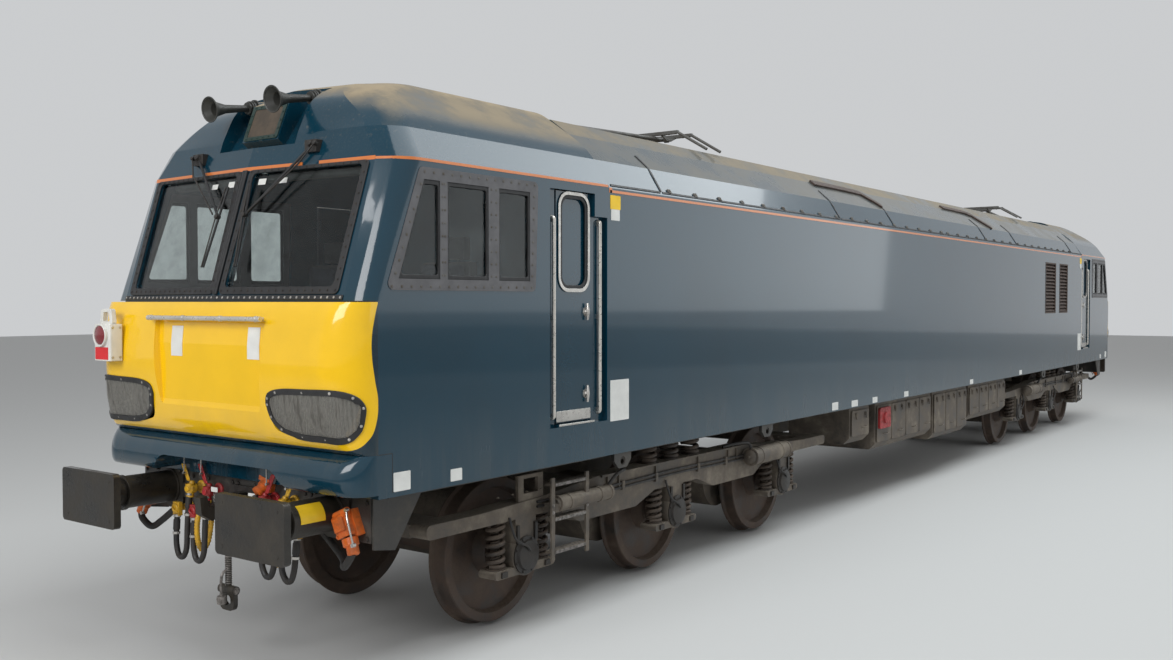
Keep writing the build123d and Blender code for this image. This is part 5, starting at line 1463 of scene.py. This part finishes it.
@on_body("horn_dark", "rim_green", sides=False, bevel=0.002)
def horn_panel_rim(bm):
    """The panel's bolted rim."""
    ring(bm, rounded(rect(-0.180, 0.006, 0.180, PANEL_TALL - 0.006), 0.02), PANEL_INNER, on_panel, 0.008)
    spots = [(-0.15 + 0.06 * step, v) for step in range(6) for v in (0.020, PANEL_TALL - 0.020)]
    spots += [(u, PANEL_TALL * (0.28 + 0.22 * step)) for step in range(3) for u in (-0.164, 0.164)]
    for u, v in spots:
        bolt(bm, on_panel(u, v, 0.008), PANEL_OUT, 0.0065, 0.006)


@on_body("horn_dark", "niche_brown", sides=False)
def horn_panel(bm):
    """The panel itself."""
    prism(bm, [(u * 1.01, v) for u, v in PANEL_INNER], on_panel, 0.003)


# Pantographs, folded: each piece on the link it belongs to

STAY_ROD = ((5.150, 0.115, 3.925), (5.60, 0.060, 3.940), (6.95, 0.020, 3.965))
UPPER_BRACE = ((6.9, 0.118, 3.970), (6.2, 0.170, 3.985), (5.5, 0.236, 3.996))
ARM_FOOT_X = 5.150
ARM_FOOT_Z = 3.925


@at_each_end("panto_steel", body="pantograph_arm_{}", sides=False, bevel=0.003)
def arm_details(bm):
    """Stay rods, clamps and the bearing of the arm."""
    for side in SIDES:
        tube(bm, [(x, side * y, z) for x, y, z in STAY_ROD], 0.012, 8)
    for x in (5.45, 5.95, 6.45, 6.85):
        height = ARM_FOOT_Z + 0.043 * (x - ARM_FOOT_X) / 2.0
        lathe(bm, drum(-0.018, 0.018, 0.047), (x, 0, height), (1, 0, 0.021), 20)
    lathe(bm, drum(-0.16, 0.16, 0.046), (ARM_FOOT_X, 0, ARM_FOOT_Z), ACROSS, 24)


@at_each_end("panto_steel", body="pantograph_upper_{}", sides=False)
def upper_details(bm):
    """Braces of the upper frame."""
    for side in SIDES:
        tube(bm, [(x, side * y, z) for x, y, z in UPPER_BRACE], 0.0065, 6)
    for share in (0.25, 0.5, 0.75):
        half = 0.080 + 0.190 * share
        tube(bm, [(7.15 - 1.85 * share, side * half, 3.968 + 0.030 * share) for side in (-1, 1)], 0.0125, 8)


@at_each_end("panto_steel", body="pantograph_head_{}", sides=False, bevel=0.002)
def head_details(bm):
    """Plates under the collector strips, their bolts and their springs' arms."""
    for x in (5.170, 5.430):
        block(bm, (x - 0.022, -0.50, 4.022), (x + 0.022, 0.50, 4.030))
        for side in SIDES:
            tube(bm, [(x, side * 0.332, 4.024), (5.300, side * 0.336, 3.990)], 0.009, 8)
            for y in (0.12, 0.26, 0.42):
                bolt(bm, (x, side * y, 4.022), DOWN, 0.007, 0.005)


# Insulators: (x, y, foot, head)
INSULATORS = (
    (5.99, 0.33, 3.720, 3.827), (4.96, 0.33, 3.720, 3.827), (5.99, -0.33, 3.720, 3.827),
    (4.96, -0.33, 3.720, 3.827), (4.02, 0.0, 3.720, 3.980), (2.75, 0.0, 3.890, 3.980),
)


@on_body("roof_steel", sides=False, bevel=0.0015)
def insulator_caps(bm):
    """Metal caps and feet of the roof's insulators, and the clamps on the busbar."""
    seat = [(0.0, 0.0), (0.0, 0.070), (0.012, 0.070), (0.016, 0.050), (0.016, 0.0)]
    for x, y, foot, head in INSULATORS:
        lathe(bm, seat, (x, y, foot), UP, 24)
        lathe(bm, drum(-0.014, 0.0, 0.046), (x, y, head), UP, 24)
        for spot in circle(Vector((x, y, foot + 0.012)), AHEAD, ACROSS, 0.058, 4, math.pi / 4):
            bolt(bm, spot, UP, 0.006, 0.006)
    for x in (4.02, 2.75):
        lathe(bm, drum(-0.030, 0.030, 0.026), (x, 0, 4.0), AHEAD, 20)
        block(bm, (x - 0.028, -0.020, 3.972), (x + 0.028, 0.020, 3.990))


# Bogies: coil springs, axlebox covers, clips, pipes and steps

AXLES = (PIVOT - WHEELBASE / 2, PIVOT, PIVOT + WHEELBASE / 2)
SPRING_Y = 1.035
SPRING_FOOT = 0.4925
SPRING_OFFSET = 0.245
FRAME_FACE = 1.115
RESERVOIR_Y = 1.205


def coil(bm, x, y, foot, head, radius, wire, turns):
    """A coil spring that stands between two flat seats."""
    lathe(bm, drum(0.0, 0.010, radius + wire), (x, y, foot), UP, 20)
    lathe(bm, drum(0.0, -0.010, radius + wire), (x, y, head), UP, 20)
    low, high = foot + 0.010 + wire, head - 0.010 - wire
    steps = int(turns * 14)
    path = []
    for share in (step / steps for step in range(steps + 1)):
        eased = min(max((share * turns - 0.5) / (turns - 1.0), 0.0), 1.0)
        angle = 2 * math.pi * turns * share
        path.append((x + radius * math.cos(angle), y + radius * math.sin(angle), low + (high - low) * eased))
    tube(bm, path, wire, 8)


@at_each_end("spring_steel", replaces=("bogie_springs_{}",))
def coil_springs(bm, side):
    """Two nested springs on each side of every axlebox, and three under the body."""
    y = side * SPRING_Y
    for axle, head in zip(AXLES, (0.8345, 0.7995, 0.8345)):
        for x in (axle - SPRING_OFFSET, axle + SPRING_OFFSET):
            coil(bm, x, y, SPRING_FOOT, head, 0.058, 0.0155, 6.0)
            coil(bm, x, y, SPRING_FOOT, head, 0.029, 0.0090, 9.0)
    for offset in (-0.350, 0.0, 0.350):
        coil(bm, PIVOT + offset, y, 1.0205, 1.1935, 0.070, 0.0170, 3.2)


def face_block(bm, side, x, foot, head, half, stand):
    """A block on the outer face of the side member."""
    block(bm, (x - half, side * FRAME_FACE - 0.004, foot), (x + half, side * (FRAME_FACE + stand), head))


@at_each_end("bogie_steel", "dark_iron", bevel=0.004)
def axlebox_covers(bm, side):
    """Bolted covers of the axleboxes, with the blocks under their springs and above them."""
    cover = [(-0.003, 0.0), (-0.003, 0.138), (0.012, 0.138), (0.016, 0.112), (0.034, 0.106), (0.040, 0.060)]
    for axle in AXLES:
        lathe(bm, cover + [(0.044, 0.0)], (axle, side * FRAME_FACE, AXLE_HEIGHT), (0, side, 0), 32)
        centre = Vector((axle, side * (FRAME_FACE + 0.012), AXLE_HEIGHT))
        for spot in circle(centre, AHEAD, UP, 0.124, 8, math.pi / 8):
            bolt(bm, spot, (0, side, 0), 0.010, 0.010)
        for way in (-1, 1):
            face_block(bm, side, axle + way * SPRING_OFFSET, 0.442, 0.482, 0.030, 0.014)
            face_block(bm, side, axle + way * 0.1, 0.660, 0.790, 0.014, 0.018)


EARTH_CABLE = (
    (0.0, 0.024, 0.600), (0.05, 0.035, 0.640), (0.16, 0.030, 0.700), (0.19, 0.012, 0.790),
    (0.19, -0.012, 0.860),
)
FRAME_PIPE = (
    (8.35, 0.895), (8.0, 0.890), (7.55, 0.885), (7.0, 0.892),
    (6.4, 0.900), (5.8, 0.892), (5.2, 0.886), (4.6, 0.890),
)


@at_each_end("bogie_steel", "hose_rubber")
def axlebox_cables(bm, side):
    """Earthing cables and pipes from the axleboxes up to the side member."""
    y = FRAME_FACE + 0.018
    for axle in AXLES:
        cable = [(axle + u, side * (y + out), z) for u, out, z in EARTH_CABLE]
        tube(bm, smooth_path(cable, 5), 0.009, 8)
    for lift in (0.0, 0.034):
        pipe = [(x, side * (FRAME_FACE + 0.010), z + lift) for x, z in FRAME_PIPE]
        tube(bm, smooth_path(pipe, 3), 0.0105, 8)


@at_each_end("bogie_steel", bevel=0.003)
def frame_fittings(bm, side):
    """Pipe clips, ribs, bolts and the bands and caps of the damper and the reservoir on the side member."""
    place = side_place(side, FRAME_FACE)
    for x in (8.2, 7.75, 7.25, 6.75, 6.05, 5.55, 5.05, 4.75):
        block(bm, place(x - 0.018, 0.868, -0.004), place(x + 0.018, 0.942, 0.024))
    for x in (7.46, 7.30, 5.50, 5.34, 6.75, 6.05):
        block(bm, place(x - 0.006, 0.900, -0.004), place(x + 0.006, 1.006, 0.018))
    for x, z, radius, length in ((7.890, 0.905, 0.056, 0.640), (4.850, 0.908, 0.084, 0.700)):
        start = x - length / 2
        bands = (
            (-0.012, 0.006, 0.024), (length / 5 - 0.02, 0.005, 0.04),
            (length * 0.8 - 0.02, 0.005, 0.04), (length - 0.012, 0.006, 0.024),
        )
        for offset, grow, width in bands:
            band = drum(0.0, width, radius + grow, radius - 0.01)
            lathe(bm, band, (start + offset, side * RESERVOIR_Y, z), AHEAD, 26)
        for offset, way in ((-0.012, -1), (length + 0.012, 1)):
            cap = [(0.0, radius * 0.8), (0.012, radius * 0.6), (0.016, 0.0)]
            lathe(bm, cap, (start + offset, side * RESERVOIR_Y, z), (way, 0, 0), 22)
            bolt(bm, (start + offset + way * 0.014, side * RESERVOIR_Y, z), (way, 0, 0), 0.014, 0.018)
    for x in [8.95 - 0.16 * step for step in range(33)]:
        if abs(x - PIVOT) < 2.4:
            bolt(bm, place(x, 1.020, 0.012), UP, 0.009, 0.008)


@at_each_end("bogie_steel", "worn_steel", bevel=0.0015)
def step_plates(bm, side):
    """Bright worn edges on the treads of the ladder, and its bolts."""
    for tread in (1.055, 0.800, 0.560):
        block(bm, (7.909, side * 1.238, tread - 0.011), (8.284, side * 1.246, tread + 0.011))
        for step in range(9):
            x = 7.93 + 0.0415 * step
            block(bm, (x - 0.006, side * 1.172, tread + 0.011), (x + 0.006, side * 1.236, tread + 0.016))
    for x in (7.887, 8.306):
        for z in (0.905, 0.855):
            bolt(bm, (x, side * 1.242, z), (0, side, 0), 0.010, 0.008)


DAMPER_HOSES = (
    ((7.575, 1.215, 0.96), (7.50, 1.235, 1.03), (7.38, 1.225, 1.055), (7.28, 1.16, 1.04), (7.22, 1.10, 1.03)),
    ((5.20, 1.205, 0.99), (5.26, 1.215, 1.045), (5.38, 1.205, 1.062), (5.50, 1.14, 1.05), (5.56, 1.10, 1.03)),
)


@at_each_end("bogie_steel", "hose_rubber")
def damper_hoses(bm, side):
    """Hoses of the damper and the reservoir."""
    for arc in DAMPER_HOSES:
        tube(bm, smooth_path([(x, side * y, z) for x, y, z in arc], 6), 0.014, 10)


# Gear under the floor; the equipment cases are (middle, length, depth)

CASES = ((2.60, 0.56, 0.42), (1.18, 1.90, 0.56), (-0.56, 1.40, 0.64), (-2.26, 1.80, 0.52))
CASE_FACE = 1.215
UNDERFRAME_FOOT = 1.200


@on_body("bogie_steel", both_ends=False, bevel=0.003)
def case_fittings(bm, side):
    """Lids on the equipment cases, each with two catches and a handle."""
    place = side_place(side, CASE_FACE)
    for x, length, depth in CASES:
        panels = max(1, round(length / 0.47))
        foot = UNDERFRAME_FOOT - depth + 0.085
        for number in range(panels):
            low, high = (x - length / 2 + (number + edge) * length / panels for edge in (0.06, 0.94))
            lid = rounded(rect(low, foot, high, 1.155), 0.02, 4)
            prism(bm, lid, side_place(side, CASE_FACE + 0.010), 0.010)
            for share in (0.22, 0.78):
                u = low + (high - low) * share
                block(bm, place(u - 0.022, 1.085, 0.018), place(u + 0.022, 1.125, 0.032))
                block(bm, place(u - 0.010, 1.055, 0.030), place(u + 0.010, 1.120, 0.040))
            bends = ((0.10, 0.016), (0.12, 0.050), (0.20, 0.050), (0.22, 0.016))
            handle = [place(low + reach, foot + 0.09, out) for reach, out in bends]
            tube(bm, smooth_path(handle, 4), 0.006, 8)


@on_body("fitting_orange", "cock_red", both_ends=False, bevel=0.004)
def red_covers(bm, side):
    """The red cover on the second case."""
    prism(bm, rounded(rect(1.74, 0.885, 2.08, 1.135), 0.03, 5), side_place(side, CASE_FACE + 0.020), 0.030)
    knob = [(0.0, 0.070), (0.020, 0.066), (0.026, 0.0)]
    lathe(bm, knob, (1.91, side * (CASE_FACE + 0.050), 1.01), (0, side, 0), 28)


@on_body("bogie_steel", "dark_iron", bevel=0.002)
def lifting_eyes(bm, side):
    """Rims of the lifting brackets' eyes."""
    for x in (7.535, 5.090):
        lathe(bm, drum(0.0, 0.008, 0.044, 0.022), (x, side * 1.312, 1.150), (0, side, 0), 22)


# Cabs: seats, controls on the desk and the blind

CUSHION_STEPS = 12
SEAT_Y = 0.62
SEAT_CROWN = 1.15
ARM_REST = ((8.79, 0.255, 2.30), (8.95, 0.262, 2.31), (9.12, 0.262, 2.30))
DESK_RISE = 0.130
DESK_RUN = 0.400


def cushion_layer(bm, centre, size, way):
    """One half of a cushion: a crowned sheet whose sides pull in, with two channels in its upper face."""
    layer = []
    shares = [2 * step / CUSHION_STEPS - 1 for step in range(CUSHION_STEPS + 1)]
    for u, v in ((u, v) for u in shares for v in shares):
        lift = ((1 - abs(u) ** 5) * (1 - abs(v) ** 5)) ** 0.35
        channel = 0.10 * math.exp(-((abs(v) - 0.42) / 0.05) ** 2) if way == 1 else 0.0
        pull = 1 - 0.035 * (1 - abs(u * v)) * max(abs(u), abs(v)) ** 4
        height = (SEAT_CROWN if way == 1 else 0.55) * lift * (1 - channel)
        offset = (u * pull * size[0] / 2, v * pull * size[1] / 2, way * height * size[2] / 2)
        layer.append(bm.verts.new(tuple(middle + part for middle, part in zip(centre, offset))))
    row = CUSHION_STEPS + 1
    for i in range(CUSHION_STEPS):
        for j in range(CUSHION_STEPS):
            a = i * row + j
            bm.faces.new((layer[a], layer[a + 1], layer[a + row + 1], layer[a + row]))


def pillow(name, low, high, turn, lean):
    """A padded cushion of two halves that meet in a seam."""
    bm = bmesh.new()
    size = [one - two for one, two in zip(high, low)]
    centre = Vector([(one + two) / 2 for one, two in zip(high, low)])
    for way in SIDES:
        cushion_layer(bm, centre, size, way)
    bmesh.ops.remove_doubles(bm, verts=bm.verts, dist=0.0004)
    if lean:
        spin = Matrix.Translation(centre) @ Matrix.Rotation(lean, 4, "Y") @ Matrix.Translation(-centre)
        bmesh.ops.transform(bm, matrix=spin, verts=bm.verts)
    bmesh.ops.transform(bm, matrix=turn, verts=bm.verts)
    cushion = piece(name, bm, "cab_grey", "seat_cloth", sharp=80)


for end, turn in ENDS:
    for side, hand in ((1, "left"), (-1, "right")):
        y = side * SEAT_Y
        for part, low, high, lean in (
            ("cushion", (8.760, y - 0.225, 1.990), (9.215, y + 0.225, 2.085), 0.0),
            ("back", (8.500, y - 0.215, 2.320), (9.100, y + 0.215, 2.405), math.radians(-86.3)),
        ):
            pillow(f"seat_{part}_{end}_{hand}", low, high, turn, lean)


@at_each_end("cab_grey", body="body", bevel=0.008)
def seat_fittings(bm, side):
    """Arm rests, head rest and foot of each seat."""
    y = side * SEAT_Y
    for hand in SIDES:
        rest = [(x, y + hand * out, z) for x, out, z in ARM_REST]
        tube(bm, smooth_path(rest, 4), [0.018] * 2 + [0.024] * 5 + [0.018] * 2, 10)
        tube(bm, [(8.80, y + hand * 0.225, 2.12), (8.80, y + hand * 0.255, 2.30)], 0.012, 8)
        tube(bm, [(8.725, y + hand * 0.06, 2.66), (8.705, y + hand * 0.06, 2.72)], 0.007, 8)
    block(bm, (8.66, y - 0.13, 2.70), (8.73, y + 0.13, 2.86))
    foot = [(0.0, 0.0), (0.0, 0.16), (0.015, 0.155), (0.03, 0.08), (0.03, 0.0)]
    lathe(bm, foot, (8.98, y, 1.490), UP, 24)


def on_desk(x, lift=0.0):
    """The height of the sloping desk at x."""
    return 2.200 + (x - 9.640) * DESK_RISE / DESK_RUN + lift


@at_each_end("cab_grey", "horn_dark", body="body", sides=False, bevel=0.006)
def desk_controls(bm):
    """Instrument hoods, power handles, gauges and the lamps between the desks."""
    tilt = math.atan2(DESK_RISE, DESK_RUN)
    handle = [(0.0, 0.045), (0.014, 0.042), (0.020, 0.012), (0.085, 0.010), (0.090, 0.022), (0.120, 0.024)]
    gauge = [(0.0, 0.0), (0.0, 0.052), (0.010, 0.056), (0.016, 0.050), (0.016, 0.0)]
    for y in (-SEAT_Y, SEAT_Y):
        block(bm, (9.800, y - 0.36, on_desk(9.80, -0.01)), (10.000, y + 0.36, on_desk(9.90, 0.085)))
        for offset in (-0.42, 0.42):
            foot = (9.70, y + offset, on_desk(9.70))
            lathe(bm, handle + [(0.128, 0.0)], foot, (-math.sin(tilt), 0, math.cos(tilt)), 20)
        for offset in (-0.24, -0.08, 0.08, 0.24):
            lathe(bm, gauge, (9.800, y + offset, on_desk(9.80, 0.040)), (-1, 0, 0.35), 24)
    for y in (-0.16, -0.05, 0.06, 0.17):
        block(bm, (9.66, y - 0.040, on_desk(9.66, -0.004)), (9.78, y + 0.040, on_desk(9.72, 0.030)))


@at_each_end("cab_grey", "blind_grey", body="body", bevel=0.003)
def rolled_blinds(bm, side):
    """Blinds rolled up over the windscreens."""
    start = Vector((9.905, side * 0.10, 3.215))
    run = Vector((9.850, side * 1.02, 3.215)) - start
    lathe(bm, drum(0.0, run.length, 0.030), start, run, 16)


# Camera where the photographer stood: place, heading and pitch solved from the object's known sizes

PHOTO_WIDTH = 1173.0
FOCAL_PIXELS = 1102.8
CAMERA_PLACE = (14.603, 6.185, 2.398)
CAMERA_YAW = math.radians(216.406)
CAMERA_PITCH = math.radians(-1.498)
FLOOR_HALF = 70
FLOOR_LEVEL = -0.002
WORLD_LIGHT = 0.42
WORLD_SHOWN = 0.20
ROOF_WHITE = (0.93, 0.98, 1.0)


def add_object(name, data, place, direction=None):
    """An object in the scene, looking in a direction if one is given."""
    obj = bpy.data.objects.new(name, data)
    bpy.context.scene.collection.objects.link(obj)
    obj.location = place
    if direction:
        obj.rotation_euler = direction.to_track_quat("-Z", "Y").to_euler()
    return obj


def add_camera():
    """The photographer's camera."""
    data = bpy.data.cameras.new("photo_camera")
    data.sensor_fit = "HORIZONTAL"
    data.sensor_width = 36.0
    data.lens = FOCAL_PIXELS / PHOTO_WIDTH * data.sensor_width
    data.clip_end = 200.0
    flat = math.cos(CAMERA_PITCH)
    heading = (math.cos(CAMERA_YAW) * flat, math.sin(CAMERA_YAW) * flat, math.sin(CAMERA_PITCH))
    bpy.context.scene.camera = add_object("photo_camera", data, CAMERA_PLACE, Vector(heading))


def add_floor():
    """A pale floor, just under the ground plane."""
    mesh = bpy.data.meshes.new("floor")
    corners = [(x, y, 0) for x, y in rect(-FLOOR_HALF, -FLOOR_HALF, FLOOR_HALF, FLOOR_HALF)]
    mesh.from_pydata(corners, [], [(0, 1, 2, 3)])
    mesh.materials.append(new_material("floor_pale", (0.62, 0.62, 0.61), 0.9)[0])
    add_object("floor", mesh, (0, 0, FLOOR_LEVEL))


def add_world():
    """A pale studio: brighter where it is seen, mirrored or seen through glass than as the object's light."""
    world = bpy.data.worlds.new("studio")
    bpy.context.scene.world = world
    world.use_nodes = True
    tree = world.node_tree
    background = tree.nodes["Background"]
    path = add_node(tree, "ShaderNodeLightPath")
    seen = combine(tree, "MAXIMUM", path.outputs["Is Camera Ray"], path.outputs["Is Transmission Ray"])
    seen = combine(tree, "MAXIMUM", seen, path.outputs["Is Glossy Ray"])
    strength = combine(tree, "MULTIPLY", seen, WORLD_SHOWN)
    tree.links.new(combine(tree, "ADD", strength, WORLD_LIGHT), background.inputs["Strength"])
    background.inputs["Color"].default_value = (0.96, 0.98, 1.0, 1.0)


def area_light(name, place, target, size, power, colour=(1, 1, 1)):
    """A rectangular light that looks at a target."""
    data = bpy.data.lights.new(name, "AREA")
    data.shape = "RECTANGLE"
    data.size, data.size_y = size
    data.energy = power
    data.color = colour
    add_object(name, data, place, Vector(target) - Vector(place))


add_camera()
add_floor()
add_world()
area_light("roof_lights", (0, 5.0, 12.0), (0, 0.5, 2.0), (26.0, 6.0), 1500, ROOF_WHITE)
area_light("end_light", (22.0, 2.0, 8.0), (9.0, 0.0, 2.2), (8.0, 6.0), 1080)
area_light("side_light", (-14.0, 21.0, 5.0), (-4.0, 1.0, 2.4), (34.0, 6.0), 560, ROOF_WHITE)

bpy.context.scene.view_settings.view_transform = "Standard"
